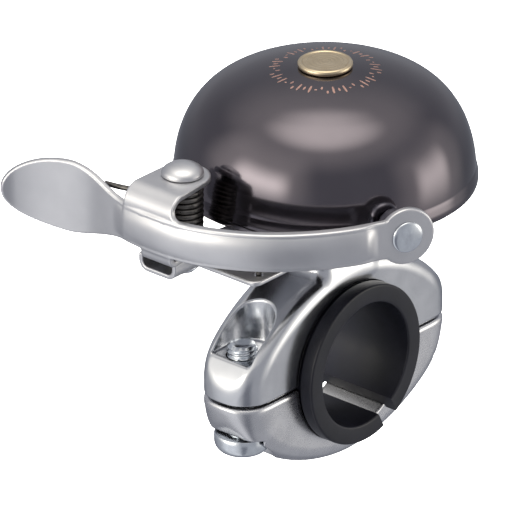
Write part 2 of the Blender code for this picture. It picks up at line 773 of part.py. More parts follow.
def striker_frame():
    """Local Z points out of the eye, away from the dome."""
    outwards = Vector((cos(STRIKER_AZIMUTH), sin(STRIKER_AZIMUTH), 0))
    turn = outwards.to_track_quat("Z", "Y").to_matrix().to_4x4()
    return Matrix.Translation(eye_centre() + Vector((0, 0, LEVER_Z))) @ turn


def make_striker(finish):
    """A headed stud through the eye, with its striking end towards the dome."""
    face = LEVER_SHEET / 2 + 0.1 * MM
    tip = EYE_RADIUS_AT - DOME_R - STRIKER_GAP
    rim, neck, end = STRIKER_RIM_R, STRIKER_NECK_R, STRIKER_END_R
    profile = [(0, face + 0.75 * MM), (2 * MM, face + 0.65 * MM), (rim - 0.3 * MM, face + 0.3 * MM)]
    profile += [(rim, face), (neck, face), (neck, -face), (end, -face)]
    profile += [(end, 1.2 * MM - tip), (0.83 * end, 0.3 * MM - tip), (0.5 * end, -tip), (0, -tip)]
    return turned("striker", profile, finish, 32, striker_frame())


# ---------------------------------------------------------------- the pivot


def make_pivot_pin(finish):
    low = EAR_TOP_Z + 0.1 * MM
    tail_top = PLATE_Z - RIVET_WASHER_H - 0.2 * MM
    tail = tail_top - PIN_TAIL_H
    profile = [(0, low + PIN_HEAD_H), (1.5 * MM, low + 0.88 * PIN_HEAD_H)]
    profile += [(2.9 * MM, low + 0.55 * PIN_HEAD_H), (PIN_HEAD_R, low), (PIN_R, low)]
    profile += [(PIN_R, tail_top), (PIN_TAIL_R, tail_top), (PIN_TAIL_R - 0.2 * MM, tail), (0, tail)]
    pin = turned("pivot_pin", profile, finish, 32)
    pin.location = PIVOT
    return pin


def tube(name, inner_r, outer_r, low, high, finish):
    profile = [(inner_r, high), (outer_r, high), (outer_r, low), (inner_r, low)]
    sleeve = turned(name, profile, finish)
    sleeve.location = PIVOT
    return sleeve


def spring_route():
    """The wire from its upper leg on the lever, round the coils, to its lower leg in the bracket."""
    start_angle, turns = radians(200), SPRING_COILS
    per_turn = 16
    count = int(turns * per_turn)
    points = [Vector((-19.0, -42.1, 44.6)) * MM, Vector((-13.0, -41.6, 45.4)) * MM]
    for i in range(count + 1):
        angle = start_angle + 2 * pi * turns * i / count
        height = SPRING_TOP_Z + (SPRING_BOTTOM_Z - SPRING_TOP_Z) * i / count
        place = PIVOT + SPRING_R * Vector((cos(angle), sin(angle), 0))
        points.append(place + Vector((0, 0, height)))
    points.append(Vector((8.0, -31.2, 36.2)) * MM)
    points.append(Vector((9.7, -31.1, 35.2)) * MM)
    points.append(SPRING_HOLE + Vector((0, 0, PLATE_Z + 0.1 * MM)))
    return points


def make_torsion_spring(finish):
    curve = bpy.data.curves.new("torsion_spring", "CURVE")
    curve.dimensions = "3D"
    curve.bevel_depth = WIRE_R
    curve.bevel_resolution = 1
    curve.use_fill_caps = True
    route = spring_route()
    spline = curve.splines.new("POLY")
    spline.points.add(len(route) - 1)
    for point, place in zip(spline.points, route):
        point.co = (*place, 1)
    curve.materials.append(finish)
    spring = bpy.data.objects.new("torsion_spring", curve)
    PARTS.objects.link(spring)
    return spring


# ---------------------------------------------------------------- the whole bell


def make_bell():
    smoky = material("smoky_nickel", (0.16, 0.15, 0.17), 0.12, 1)
    brass = material("brass", (0.72, 0.58, 0.38), 0.3, 1)
    cast = material("polished_cast", (0.72, 0.73, 0.75), 0.18, 1)
    satin = material("satin_aluminium", (0.74, 0.75, 0.78), 0.3, 1)
    zinc = material("bright_zinc", (0.7, 0.74, 0.78), 0.2, 1)
    spring_steel = material("dark_spring_steel", (0.2, 0.19, 0.18), 0.35, 1)
    rubber = material("black_rubber", (0.03, 0.03, 0.035), 0.6, 0)
    nylon = material("black_nylon", (0.05, 0.05, 0.05), 0.5, 0)
    make_clamp_upper(cast)
    make_clamp_lower(cast)
    make_clamp_screw("clamp_screw_front", -1, zinc)
    make_clamp_screw("clamp_screw_rear", 1, zinc)
    make_bar_shim(rubber)
    make_base_bracket(satin)
    make_boss_screw(zinc)
    make_centre_post(zinc)
    plate_top = PLATE_Z + SHEET + 0.1 * MM
    washer("lock_washer", WASHER_HOLE_R, LOCK_WASHER_R, plate_top, LOCK_WASHER_H, zinc)
    isolator_z = seat_z() - DOME_WALL - ISOLATOR_H - 0.1 * MM
    washer("dome_isolator", WASHER_HOLE_R, ISOLATOR_R, isolator_z, ISOLATOR_H, nylon)
    make_bell_dome(smoky)
    make_dome_screw(brass)
    make_striker_lever(satin)
    make_striker(zinc)
    make_pivot_pin(satin)
    collar_h = EAR_BOTTOM_Z - 0.1 * MM - plate_top
    washer("pivot_collar", BUSH_OUTER_R + 0.1 * MM, COLLAR_R, plate_top, collar_h, nylon, PIVOT.xy)
    tube("pivot_bush", PIN_R + 0.15 * MM, BUSH_OUTER_R, plate_top, EAR_TOP_Z - 0.1 * MM, nylon)
    washer_z = PLATE_Z - RIVET_WASHER_H - 0.1 * MM
    washer("rivet_washer", PIN_R + 0.2 * MM, RIVET_WASHER_R, washer_z, RIVET_WASHER_H, zinc, PIVOT.xy)
    make_torsion_spring(spring_steel)


make_bell()
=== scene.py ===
"""The looks of the bicycle bell: fine surfaces, finishes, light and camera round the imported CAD.

Shapes are worked out in millimetres, in the CAD's own frame, and become metres in make_mesh.
"""

import json
from math import asin, cos, pi, radians, sin, sqrt

import bpy
import numpy as np
from mathutils import Matrix, Vector


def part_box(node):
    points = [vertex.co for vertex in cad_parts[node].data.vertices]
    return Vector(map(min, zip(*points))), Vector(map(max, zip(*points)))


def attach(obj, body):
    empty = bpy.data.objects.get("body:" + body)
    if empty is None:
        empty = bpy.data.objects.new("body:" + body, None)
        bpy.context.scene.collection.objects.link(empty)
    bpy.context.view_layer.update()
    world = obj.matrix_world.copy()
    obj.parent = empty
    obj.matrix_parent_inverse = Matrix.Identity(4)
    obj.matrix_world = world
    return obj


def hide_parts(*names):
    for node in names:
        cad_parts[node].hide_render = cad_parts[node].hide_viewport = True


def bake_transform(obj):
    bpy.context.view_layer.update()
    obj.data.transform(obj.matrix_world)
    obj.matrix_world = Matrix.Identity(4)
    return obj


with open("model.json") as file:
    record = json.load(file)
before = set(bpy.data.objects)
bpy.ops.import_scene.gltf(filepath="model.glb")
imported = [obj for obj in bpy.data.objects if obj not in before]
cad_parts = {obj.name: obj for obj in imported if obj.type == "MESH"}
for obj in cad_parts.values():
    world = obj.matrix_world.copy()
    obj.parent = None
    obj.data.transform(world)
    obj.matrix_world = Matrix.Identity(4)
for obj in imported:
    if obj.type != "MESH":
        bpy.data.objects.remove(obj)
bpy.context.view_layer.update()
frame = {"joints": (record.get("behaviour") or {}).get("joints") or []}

MM = 0.001


def node_box(node):
    """The lowest and highest corner of a CAD node, in millimetres."""
    low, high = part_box(node)
    return np.array(low) / MM, np.array(high) / MM


def joint_place(name):
    joint = next(joint for joint in frame["joints"] if joint["name"] == name)
    return np.array(joint["pos_m"]) / MM


# ---------------------------------------------------------------- places read from the CAD

CLAMP_LOW, CLAMP_HIGH = node_box("clamp_upper")
LOWER_LOW, LOWER_HIGH = node_box("clamp_lower")
DOME_LOW = node_box("bell_dome")[0]
SHIM_HIGH = node_box("bar_shim")[1]
BRACKET_LOW, BRACKET_HIGH = node_box("base_bracket")
PIN_LOW, PIN_HIGH = node_box("pivot_pin")
CAP_LOW, CAP_HIGH = node_box("dome_screw")
LEVER_LOW, LEVER_HIGH = node_box("striker_lever")
PIVOT = joint_place("lever_pivot")

# The clamp
CLAMP_HALF_X = CLAMP_HIGH[0]
CLAMP_HALF_Y = CLAMP_HIGH[1]
CLAMP_TOP_Z = 21.0
SPLIT_UPPER_Z = CLAMP_LOW[2]
SPLIT_LOWER_Z = LOWER_HIGH[2]
CLAMP_BOTTOM_Z = LOWER_LOW[2]
ARCH_POWERS = (1.8, 0.6)
CLAMP_FILLET = 3.6
BORE_R = 15.9
BORE_FILLET = 0.5
LOBE_TAPER = 0.22
LOBE_STRAIGHT = 1.5
LOBE_UNDERSIDE_Z = -8.4
POCKET_R = 4.9
POCKET_LENGTH = 2.1
POCKET_FLOOR_Z = 7.8
BOSS_HALF = (6.6, 8.2)
BOSS_CORNER = 3.0
BOSS_DEPTH = 4.0
BOSS_SEAT_R = 4.3
BOSS_SEAT_Z = 18.6

# The clamp's screws
SCREW_Y = 24.2
SCREW_R = 3.0
SCREW_HOLE_R = 3.25
SCREW_PITCH = 1.0
SCREW_THREAD_DEPTH = 0.5
SCREW_THREAD_END_Z = -2.0
SCREW_TIP_R = 1.2
HEAD_POCKET_R = 6.2
HEAD_ROUND_R = 2.4
HEAD_SOCKET_R = 2.3
HEAD_SOCKET_DEPTH = 2.1

# The shim
SHIM_BORE_R = 12.7
SHIM_BODY_R = BORE_R - 0.3
SHIM_FLANGE_R = 16.35
SHIM_SLIT_TURN = radians(-63)
SHIM_SLIT_HALF = 2.1

# The bracket
PLATE_Z = BRACKET_LOW[2]
SHEET = 1.0
PLATE_TOP = PLATE_Z + SHEET
PLATE_BACK_HALF_X = 8.2
PLATE_WAIST_Y = -14.0
PLATE_SHOULDER_Y = -24.0
PLATE_FRONT_Y = -34.8
PLATE_LEFT_X = -9.6
PLATE_CORNER_R = 2.2
TONGUE_HALF_X = 4.7
TONGUE_BACK_Y = -27.5
TONGUE_BEND_R = 2.2
SPRING_HOLE = (10.2, -31.1)
SPRING_HOLE_R = 0.9

# The post and its screws
POST_R = 3.4
POST_SCREW_R = 2.0
POST_HOLE_R = 2.3
POST_PITCH = 0.7
BOSS_HEAD_TOP_Z = 18.3
BOSS_THREAD_END_Z = 20.0
BOSS_SOCKET_R = 1.4
WASHER_SLIT_HALF = 0.35
WASHER_LIFT = 0.12

# The dome
RIM_Z = DOME_LOW[2]
DOME_R = 29.38
LIP_R = 29.68
LIP_H = 3.0
SHOULDER_H = 22.26
SHOULDER_POWERS = (3.6, 2.25)
CROWN_FROM_R = 19.5
CROWN_DROP = 0.5
SEAT_R = 5.8
DOME_WALL = 1.2
DOME_HOLE_R = 2.4

# The lever
LEVER_Z = 40.3
LEVER_SHEET = 1.5
BAND_HALF_H = 3.9
PAD_HALF_H = 7.4
PAD_LENGTH = 31.0
PAD_TIP_AT = 1.6
PAD_RAISED = 0.4
EYE_R = 5.75
EYE_HOLE_R = 2.2
EYE_RADIUS_AT = 36.6
RIB_HALF_H = 3.1
RIB_RISE = 1.0
RIB_START = (27.5, 32.5)
RIB_END = (0.2, 3.4)
EAR_SHEET = 1.3
EAR_END_R = 5.4
EAR_TOP_Z = LEVER_HIGH[2]
EAR_BOTTOM_Z = 33.9
EAR_BEND_R = 4.0
EAR_LOW_BEND_R = 2.2
EAR_FACE_Y = -46.4
EAR_TAPER = 1.6 / 14.7
EAR_FLARE_R = 2.4
EAR_CORNER_X = -6.2
EAR_CORNER_TURN = radians(38.5)

# The striker
STRIKER_AZIMUTH = radians(-24.5)
STRIKER_GAP = 1.0
STRIKER_HEAD_R = 3.15
STRIKER_HEAD_H = 0.8
STRIKER_NECK_R = 1.9
STRIKER_BODY_R = 3.5

# The pivot and its spring
BUSH_R = 2.65
PIN_R = 1.6
PIN_HEAD_R = 4.1
PIN_TAIL_R = 2.45
PIN_TAIL_TOP_Z = PLATE_Z - 0.75
SPRING_R = 3.5
SPRING_TURNS = 8 + 12.5 / 360
SPRING_START = radians(289)
WIRE_R = 0.55
SPRING_TOP_Z = 45.6
SPRING_BOTTOM_Z = 36.3

# ---------------------------------------------------------------- meshes


def make_mesh(name, points, faces, normals=None, sharp_angle=40):
    """A mesh object, from points in millimetres."""
    mesh = bpy.data.meshes.new(name)
    points = np.asarray(points, float) * MM
    if isinstance(faces, np.ndarray):
        count, sides = faces.shape
        mesh.vertices.add(len(points))
        mesh.vertices.foreach_set("co", points.astype(np.float32).ravel())
        mesh.loops.add(count * sides)
        mesh.loops.foreach_set("vertex_index", faces.astype(np.int32).ravel())
        mesh.polygons.add(count)
        mesh.polygons.foreach_set("loop_start", np.arange(0, count * sides, sides, dtype=np.int32))
        mesh.update(calc_edges=True)
    else:
        mesh.from_pydata([tuple(point) for point in points], [], faces)
    mesh.validate()
    mesh.shade_smooth()
    if normals is None:
        mesh.set_sharp_from_angle(angle=radians(sharp_angle))
    else:
        mesh.normals_split_custom_set_from_vertices([tuple(normal) for normal in normals])
    obj = bpy.data.objects.new(name, mesh)
    bpy.context.scene.collection.objects.link(obj)
    return obj


def place(obj, finish, body, node):
    """Gives a piece its finish and the body that it rides on, and hides the CAD node that it stands for."""
    obj.data.materials.append(FINISHES[finish])
    if body is not None:
        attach(obj, body)
    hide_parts(node)


def filleted(points, radius, closed=True, steps=5):
    """The outline with each corner turned into a small curve."""
    points = [np.array(point, float) for point in points]
    count = len(points)
    made = []
    for i, corner in enumerate(points):
        if not closed and i in (0, count - 1):
            made.append(corner)
            continue
        before, after = points[i - 1] - corner, points[(i + 1) % count] - corner
        reach_before, reach_after = np.linalg.norm(before), np.linalg.norm(after)
        reach = min(radius, 0.45 * reach_before, 0.45 * reach_after)
        start = corner + before / reach_before * reach
        end = corner + after / reach_after * reach
        for j in range(steps + 1):
            t = j / steps
            made.append((1 - t) ** 2 * start + 2 * t * (1 - t) * corner + t * t * end)
    return made


def ring_mesh(name, rings, sharp_angle=40):
    """A closed skin over rings of points. It ends in single points, or else its ends meet."""
    points, starts, sizes = [], [], []
    for ring in rings:
        starts.append(len(points))
        sizes.append(len(ring))
        points.extend(ring)
    faces = []
    pairs = list(zip(range(len(rings)), range(1, len(rings))))
    if sizes[0] > 1:
        pairs.append((len(rings) - 1, 0))
    for a, b in pairs:
        count = max(sizes[a], sizes[b])
        for i in range(count):
            j = (i + 1) % count
            if sizes[a] == 1:
                faces.append((starts[a], starts[b] + i, starts[b] + j))
            elif sizes[b] == 1:
                faces.append((starts[a] + j, starts[a] + i, starts[b]))
            else:
                faces.append((starts[a] + j, starts[a] + i, starts[b] + i, starts[b] + j))
    return make_mesh(name, points, faces, sharp_angle=sharp_angle)


def circle(radius, height, steps, centre=(0, 0)):
    """A ring of points, its radius one number or one for each point. A radius of 0 gives one point."""
    if np.ndim(radius) == 0 and radius == 0:
        return np.array([[*centre, height]])
    angles = np.arange(steps) * 2 * pi / steps
    radius = np.broadcast_to(radius, angles.shape)
    flat = [centre[0] + radius * np.cos(angles), centre[1] + radius * np.sin(angles)]
    return np.column_stack(flat + [np.full(steps, float(height))])


def circles(profile, steps, centre=(0, 0)):
    return [circle(radius, height, steps, centre) for radius, height in profile]


def turned(name, profile, steps=96, centre=(0, 0)):
    """A turned piece: (radius, height) from the top axis down its outer side, or a closed outline."""
    return ring_mesh(name, circles(profile, steps, centre))


def tube_faces(rows, count):
    """The faces of a tube made of rows of count points, with both its ends closed."""
    faces = [tuple(range(count)), tuple(reversed(range((rows - 1) * count, rows * count)))]
    for i in range(rows - 1):
        for j in range(count):
            k = (j + 1) % count
            faces.append((i * count + k, i * count + j, (i + 1) * count + j, (i + 1) * count + k))
    return faces


def split_ring(name, profile, slit_turn, slit_half, lift=0.0, steps=160):
    """A closed (radius, height) outline swept round Z, all but a slit; lift sets its ends apart."""
    radii, heights = np.array(profile, float).T
    slit = np.arcsin(slit_half / radii)
    rows = []
    for part in np.linspace(0, 1, steps + 1):
        angles = slit_turn + slit + 2 * (pi - slit) * part
        flat = [radii * np.cos(angles), radii * np.sin(angles)]
        rows.append(np.column_stack(flat + [heights + lift * (part - 0.5)]))
    return make_mesh(name, np.vstack(rows), tube_faces(steps + 1, len(profile)))


# ---------------------------------------------------------------- curves in a plane


class PlaneCurve:
    """A smooth curve in a plane. It gives a point's distance to its left and the length along it."""

    def __init__(self, points, closed=False, reach=8.0, spacing=0.2, cell=0.5):
        points = np.array(points, float)
        if closed:
            points = np.vstack([points, points[:1]])
        runs = np.concatenate([[0], np.cumsum(np.hypot(*np.diff(points, axis=0).T))])
        self.length = runs[-1]
        self.count = int(self.length / spacing) + 1
        self.spacing = self.length / (self.count if closed else self.count - 1)
        self.closed = closed
        at = np.arange(self.count) * self.spacing
        self.points = np.column_stack([np.interp(at, runs, points[:, i]) for i in (0, 1)])
        if closed:
            step = np.roll(self.points, -1, 0) - np.roll(self.points, 1, 0)
        else:
            step = np.gradient(self.points, axis=0)
        heading = self.smoothed(np.unwrap(np.arctan2(step[:, 1], step[:, 0])), closed)
        turn = np.gradient(heading) / self.spacing
        if closed:
            turn[0] = turn[1]
            turn[-1] = turn[-2]
        self.heading = heading
        self.bend = self.smoothed(turn, False)
        self.low = self.points.min(0) - reach
        high = self.points.max(0) + reach
        self.cell = cell
        self.table = self.nearest_table(high)

    def smoothed(self, values, closed):
        """A running mean. A closed curve's heading gains one turn, which is taken off at the joint."""
        weights = np.array([1, 2, 3, 2, 1]) / 9
        if closed:
            turn = 2 * pi * np.sign(values[-1] - values[0])
            padded = np.concatenate([values[-2:] - turn, values, values[:2] + turn])
        else:
            padded = np.pad(values, 2, "edge")
        return np.convolve(padded, weights, "valid")

    def nearest_table(self, high):
        across = np.arange(self.low[0], high[0] + self.cell, self.cell)
        up = np.arange(self.low[1], high[1] + self.cell, self.cell)
        table = np.zeros((len(across), len(up)), int)
        for i, value in enumerate(across):
            gaps = (value - self.points[:, 0]) ** 2 + (up[:, None] - self.points[:, 1]) ** 2
            table[i] = gaps.argmin(1)
        return table

    def at(self, a, b):
        """(distance to the left of the curve, length along it) for each point."""
        a, b = np.broadcast_arrays(np.asarray(a, float), np.asarray(b, float))
        i = np.clip(np.rint((a - self.low[0]) / self.cell).astype(int), 0, self.table.shape[0] - 1)
        j = np.clip(np.rint((b - self.low[1]) / self.cell).astype(int), 0, self.table.shape[1] - 1)
        index = self.table[i, j]
        for last in (False, True):
            along, left, bend = self.local(index, a, b)
            curved = np.abs(bend) >= 1e-6
            safe = np.where(curved, bend, 1)
            arc = np.where(curved, np.arctan2(safe * along, 1 - safe * left) / safe, along)
            if not last:
                index = index + np.rint(arc / self.spacing).astype(int)
                index = index % self.count if self.closed else np.clip(index, 0, self.count - 1)
        square = along**2 + left**2
        root = np.sqrt(np.maximum(1 - 2 * bend * left + bend**2 * square, 0))
        return (2 * left - bend * square) / (1 + root), index * self.spacing + arc

    def local(self, index, a, b):
        gap_a = a - self.points[index, 0]
        gap_b = b - self.points[index, 1]
        cosine, sine = np.cos(self.heading[index]), np.sin(self.heading[index])
        return gap_a * cosine + gap_b * sine, gap_b * cosine - gap_a * sine, self.bend[index]


def smooth_path(points, per_span=60):
    """A Catmull-Rom curve through the points."""
    points = [np.array(point, float) for point in points]
    padded = [2 * points[0] - points[1]] + points + [2 * points[-1] - points[-2]]
    path = []
    for i in range(len(points) - 1):
        p0, p1, p2, p3 = padded[i : i + 4]
        for j in range(per_span):
            t = j / per_span
            cubic = (3 * p1 - p0 - 3 * p2 + p3) * t**3
            path.append(0.5 * (2 * p1 + (p2 - p0) * t + (2 * p0 - 5 * p1 + 4 * p2 - p3) * t * t + cubic))
    return path + [points[-1]]


def arc_points(centre, radius, start, end, count):
    """Points on an arc, angles in degrees, both ends included."""
    angles = [radians(start + (end - start) * i / count) for i in range(count + 1)]
    return [(centre[0] + radius * cos(a), centre[1] + radius * sin(a)) for a in angles]


def smooth_step(value, low, high):
    t = np.clip((value - low) / (high - low), 0, 1)
    return t * t * (3 - 2 * t)


# ---------------------------------------------------------------- distance fields, negative inside


def meet(a, b, radius):
    """What is inside both, its new edge rounded."""
    edge = np.hypot(np.maximum(radius + a, 0), np.maximum(radius + b, 0))
    return np.minimum(-radius, np.maximum(a, b)) + edge


def join(a, b, radius):
    """What is inside either, the corner between them filled in."""
    corner = np.hypot(np.maximum(radius - a, 0), np.maximum(radius - b, 0))
    return np.maximum(radius, np.minimum(a, b)) - corner


def cut(a, b, radius):
    """What is inside a and outside b, its new edge rounded."""
    return meet(a, -b, radius)


def slopes(field, points, step=0.02):
    """The field's gradient at each point, by small steps both ways."""
    parts = []
    for axis in range(3):
        shift = np.zeros(3)
        shift[axis] = step
        parts.append(field(*(points + shift).T) - field(*(points - shift).T))
    return np.column_stack(parts) / (2 * step)


def grid_surface(field, low, high, cell):
    """Points and quads near the field's zero surface: one point in each grid cell that it passes."""
    axes = [np.arange(a - 2 * cell, b + 3 * cell, cell) for a, b in zip(low, high)]
    shape = tuple(len(axis) for axis in axes)
    grid = (axes[0][:, None, None], axes[1][None, :, None], axes[2][None, None, :])
    values = np.broadcast_to(field(*grid), shape).astype(np.float32)
    inside = values < 0
    filled = np.zeros([size - 1 for size in shape], np.int8)
    for i in (0, 1):
        for j in (0, 1):
            for k in (0, 1):
                filled += inside[i : shape[0] - 1 + i, j : shape[1] - 1 + j, k : shape[2] - 1 + k]
    passed = (filled > 0) & (filled < 8)
    cells = np.argwhere(passed)
    number = np.full(passed.shape, -1)
    number[passed] = np.arange(len(cells))
    total, hits = np.zeros((len(cells), 3)), np.zeros(len(cells))
    for axis in range(3):
        side, other = (axis + 1) % 3, (axis + 2) % 3
        for i in (0, 1):
            for j in (0, 1):
                start = cells.copy()
                start[:, side] += i
                start[:, other] += j
                end = start.copy()
                end[:, axis] += 1
                first, last = values[tuple(start.T)], values[tuple(end.T)]
                crossed = (first < 0) != (last < 0)
                place_at = start[crossed].astype(float)
                place_at[:, axis] += (first / (first - last + (first == last)))[crossed]
                total[crossed] += place_at
                hits[crossed] += 1
    points = total / hits[:, None] * cell + [axis[0] for axis in axes]
    return points, grid_quads(inside, number)


def grid_quads(inside, number):
    quads = []
    for axis in range(3):
        side, other = (axis + 1) % 3, (axis + 2) % 3
        before = np.take(inside, range(inside.shape[axis] - 1), axis)
        after = np.take(inside, range(1, inside.shape[axis]), axis)
        edges = np.argwhere(before != after)
        leaving = before[tuple(edges.T)]
        ring = []
        for i, j in ((1, 1), (0, 1), (0, 0), (1, 0)):
            corner = edges.copy()
            corner[:, side] -= i
            corner[:, other] -= j
            ring.append(number[tuple(corner.T)])
        ring = np.column_stack(ring)
        quads.append(np.where(leaving[:, None], ring, ring[:, ::-1]))
    return np.vstack(quads)


def field_mesh(name, field, low, high, cell):
    """A smooth mesh on the field's zero surface, shaded with the field's own slopes."""
    points, quads = grid_surface(field, low, high, cell)
    for _ in range(3):
        slope = slopes(field, points)
        steepness = np.maximum((slope**2).sum(1), 0.2)
        move = slope * (field(*points.T) / steepness)[:, None]
        length = np.linalg.norm(move, axis=1)
        move *= np.minimum(1, 0.5 * cell / np.maximum(length, 1e-9))[:, None]
        points = points - move
    slope = slopes(field, points)
    slope /= np.maximum(np.linalg.norm(slope, axis=1), 1e-9)[:, None]
    return make_mesh(name, points, quads, normals=slope)


# ---------------------------------------------------------------- finishes


class Tree:
    """A node tree, built a node at a time."""

    def __init__(self, tree):
        self.tree = tree

    def add(self, kind, inputs=(), **settings):
        node = self.tree.nodes.new(kind)
        for key, value in settings.items():
            setattr(node, key, value)
        self.feed(node, dict(inputs))
        return node

    def feed(self, node, inputs):
        """Gives a node's inputs their values, or the outputs that they follow."""
        for key, value in inputs.items():
            if isinstance(value, bpy.types.NodeSocket):
                self.tree.links.new(value, node.inputs[key])
            else:
                node.inputs[key].default_value = value


class Nodes(Tree):
    """A material's tree."""

    def __init__(self, name):
        self.material = bpy.data.materials.new(name)
        self.material.use_nodes = True
        super().__init__(self.material.node_tree)
        self.place = self.add("ShaderNodeTexCoord").outputs["Object"]

    def shaded(self, **inputs):
        """The material, its shader's inputs given by name, with _ for a space."""
        named = {key.replace("_", " "): value for key, value in inputs.items()}
        self.feed(self.tree.nodes["Principled BSDF"], named)
        return self.material

    def noise(self, size, stretch=(1, 1, 1), detail=3.0, place_at=None):
        """Noise whose patches are about size millimetres, stretched along an axis by its factor."""
        scale = [1 / factor for factor in stretch]
        mapping = self.add("ShaderNodeMapping", {"Vector": place_at or self.place, "Scale": scale})
        inputs = {"Vector": mapping.outputs["Vector"], "Scale": 1 / (size * MM), "Detail": detail}
        return self.add("ShaderNodeTexNoise", inputs).outputs["Fac"]

    def spread(self, value, low, high, start=0.3, end=0.7):
        inputs = {"Value": value, "From Min": start, "From Max": end, "To Min": low, "To Max": high}
        return self.add("ShaderNodeMapRange", inputs).outputs["Result"]

    def gloss(self, slow, fine, low, high):
        """Roughness that follows two noises at once."""
        both = self.add("ShaderNodeMath", {0: slow, 1: fine}, operation="ADD").outputs["Value"]
        return self.spread(both, low, high, start=0.7, end=1.3)

    def tones(self, value, first, second):
        ramp = self.add("ShaderNodeValToRGB", {"Fac": value})
        for element, position, tone in zip(ramp.color_ramp.elements, (0.3, 0.7), (first, second)):
            element.position = position
            element.color = (*tone, 1)
        return ramp.outputs["Color"]

    def radius(self):
        """The distance from the dome's axis, as a vector along X for a texture."""
        flat = self.add("ShaderNodeMapping", {"Vector": self.place, "Scale": (1, 1, 0)})
        length = self.add("ShaderNodeVectorMath", {0: flat.outputs["Vector"]}, operation="LENGTH")
        return self.add("ShaderNodeCombineXYZ", {"X": length.outputs["Value"]}).outputs["Vector"]

    def bump(self, height, distance, strength=1.0, normal=None):
        inputs = {"Height": height, "Distance": distance * MM, "Strength": strength}
        if normal is not None:
            inputs["Normal"] = normal
        return self.add("ShaderNodeBump", inputs).outputs["Normal"]


def metal(name, dark, light, roughness, patch=6.0, grain=0.25, stretch=(1, 1, 1), depth=0.002, wave=0.0):
    """Bare or plated metal: slow patches of tone, a fine grain in gloss and height, and waviness."""
    nodes = Nodes(name)
    slow = nodes.noise(patch)
    fine = nodes.noise(grain, stretch, detail=4.0)
    normal = nodes.bump(fine, depth)
    if wave:
        normal = nodes.bump(nodes.noise(patch, detail=1.0), wave, normal=normal)
    tone = nodes.tones(slow, dark, light)
    gloss = nodes.gloss(slow, fine, *roughness)
    return nodes.shaded(Metallic=1.0, Base_Color=tone, Roughness=gloss, Normal=normal)


def dome_finish():
    """Smoky black-nickel plating over a spun dome, with the faintest turning marks."""
    nodes = Nodes("smoky_plating")
    slow = nodes.noise(14.0)
    fine = nodes.noise(0.2, detail=4.0)
    rings = nodes.noise(0.35, place_at=nodes.radius(), detail=2.0)
    normal = nodes.bump(fine, 0.0005, normal=nodes.bump(rings, 0.0006))
    tone = nodes.tones(slow, (0.119, 0.107, 0.122), (0.137, 0.123, 0.139))
    gloss = nodes.gloss(slow, fine, 0.10, 0.16)
    coat = {"Coat_Weight": 0.1, "Coat_Roughness": 0.04}
    return nodes.shaded(Metallic=1.0, Base_Color=tone, Roughness=gloss, Normal=normal, **coat)


def cap_finish():
    """Satin turned brass, its face cut in fine rings."""
    nodes = Nodes("turned_brass")
    rings = nodes.noise(0.12, place_at=nodes.radius(), detail=3.0)
    tone = nodes.tones(nodes.noise(2.5), (0.62, 0.50, 0.33), (0.72, 0.60, 0.42))
    gloss = nodes.spread(rings, 0.24, 0.4)
    normal = nodes.bump(rings, 0.006)
    return nodes.shaded(Metallic=1.0, Base_Color=tone, Roughness=gloss, Normal=normal)


def dull(name, dark, light, roughness, depth, specular=0.5):
    """Moulded rubber or nylon: a fine pebble grain and slightly uneven tone."""
    nodes = Nodes(name)
    slow = nodes.noise(5.0)
    normal = nodes.bump(nodes.noise(0.5, detail=4.0), depth)
    tone = nodes.tones(slow, dark, light)
    gloss = nodes.spread(slow, *roughness)
    return nodes.shaded(Specular_IOR_Level=specular, Base_Color=tone, Roughness=gloss, Normal=normal)


FINISHES = {
    "dome": dome_finish(),
    "brass": cap_finish(),
    "marks": metal("copper_marks", (0.60, 0.36, 0.30), (0.72, 0.46, 0.38), (0.3, 0.45), patch=1.5),
    "cast": metal(
        "polished_cast_alloy", (0.60, 0.61, 0.635), (0.66, 0.67, 0.695), (0.18, 0.24),
        patch=5.0, depth=0.0003, wave=0.008,
    ),
    "cast_satin": metal(
        "tumbled_cast_alloy", (0.62, 0.62, 0.64), (0.70, 0.70, 0.72), (0.24, 0.32),
        patch=4.0, grain=0.3, depth=0.0014,
    ),
    "sheet": metal(
        "satin_sheet", (0.61, 0.61, 0.63), (0.67, 0.67, 0.69), (0.35, 0.41),
        patch=7.0, grain=0.12, stretch=(9, 9, 1), depth=0.0005,
    ),
    "zinc": metal("bright_zinc_plate", (0.66, 0.69, 0.73), (0.78, 0.82, 0.86), (0.12, 0.24), patch=1.6),
    "spring": metal("oiled_spring_steel", (0.09, 0.085, 0.08), (0.19, 0.18, 0.17), (0.25, 0.38), patch=1.2),
    "rubber": dull(
        "black_shim_rubber", (0.006, 0.0063, 0.011), (0.012, 0.0125, 0.021), (0.34, 0.46),
        depth=0.005, specular=0.4,
    ),
    "nylon": dull(
        "black_nylon_moulding", (0.02, 0.02, 0.02), (0.035, 0.035, 0.036), (0.38, 0.5), depth=0.01
    ),
}

# ---------------------------------------------------------------- the clamp

CELL = 0.3


def clamp_outline():
    """The clamp's outline across the bar: an arch over the split, and one under it."""
    across_power, up_power = ARCH_POWERS
    outline = []
    for half in (0, 1):
        height = CLAMP_TOP_Z - SPLIT_UPPER_Z if half == 0 else SPLIT_LOWER_Z - CLAMP_BOTTOM_Z
        base = SPLIT_UPPER_Z if half == 0 else SPLIT_LOWER_Z
        for i in range(240):
            along = cos(pi * i / 240)
            y = abs(along) ** (2 / across_power)
            z = max(1 - y**across_power, 0) ** up_power
            y = CLAMP_HALF_Y * (y if along > 0 else -y)
            outline.append((y, base + height * z) if half == 0 else (-y, base - height * z))
    return PlaneCurve(outline, closed=True)


CLAMP_OUTLINE = clamp_outline()


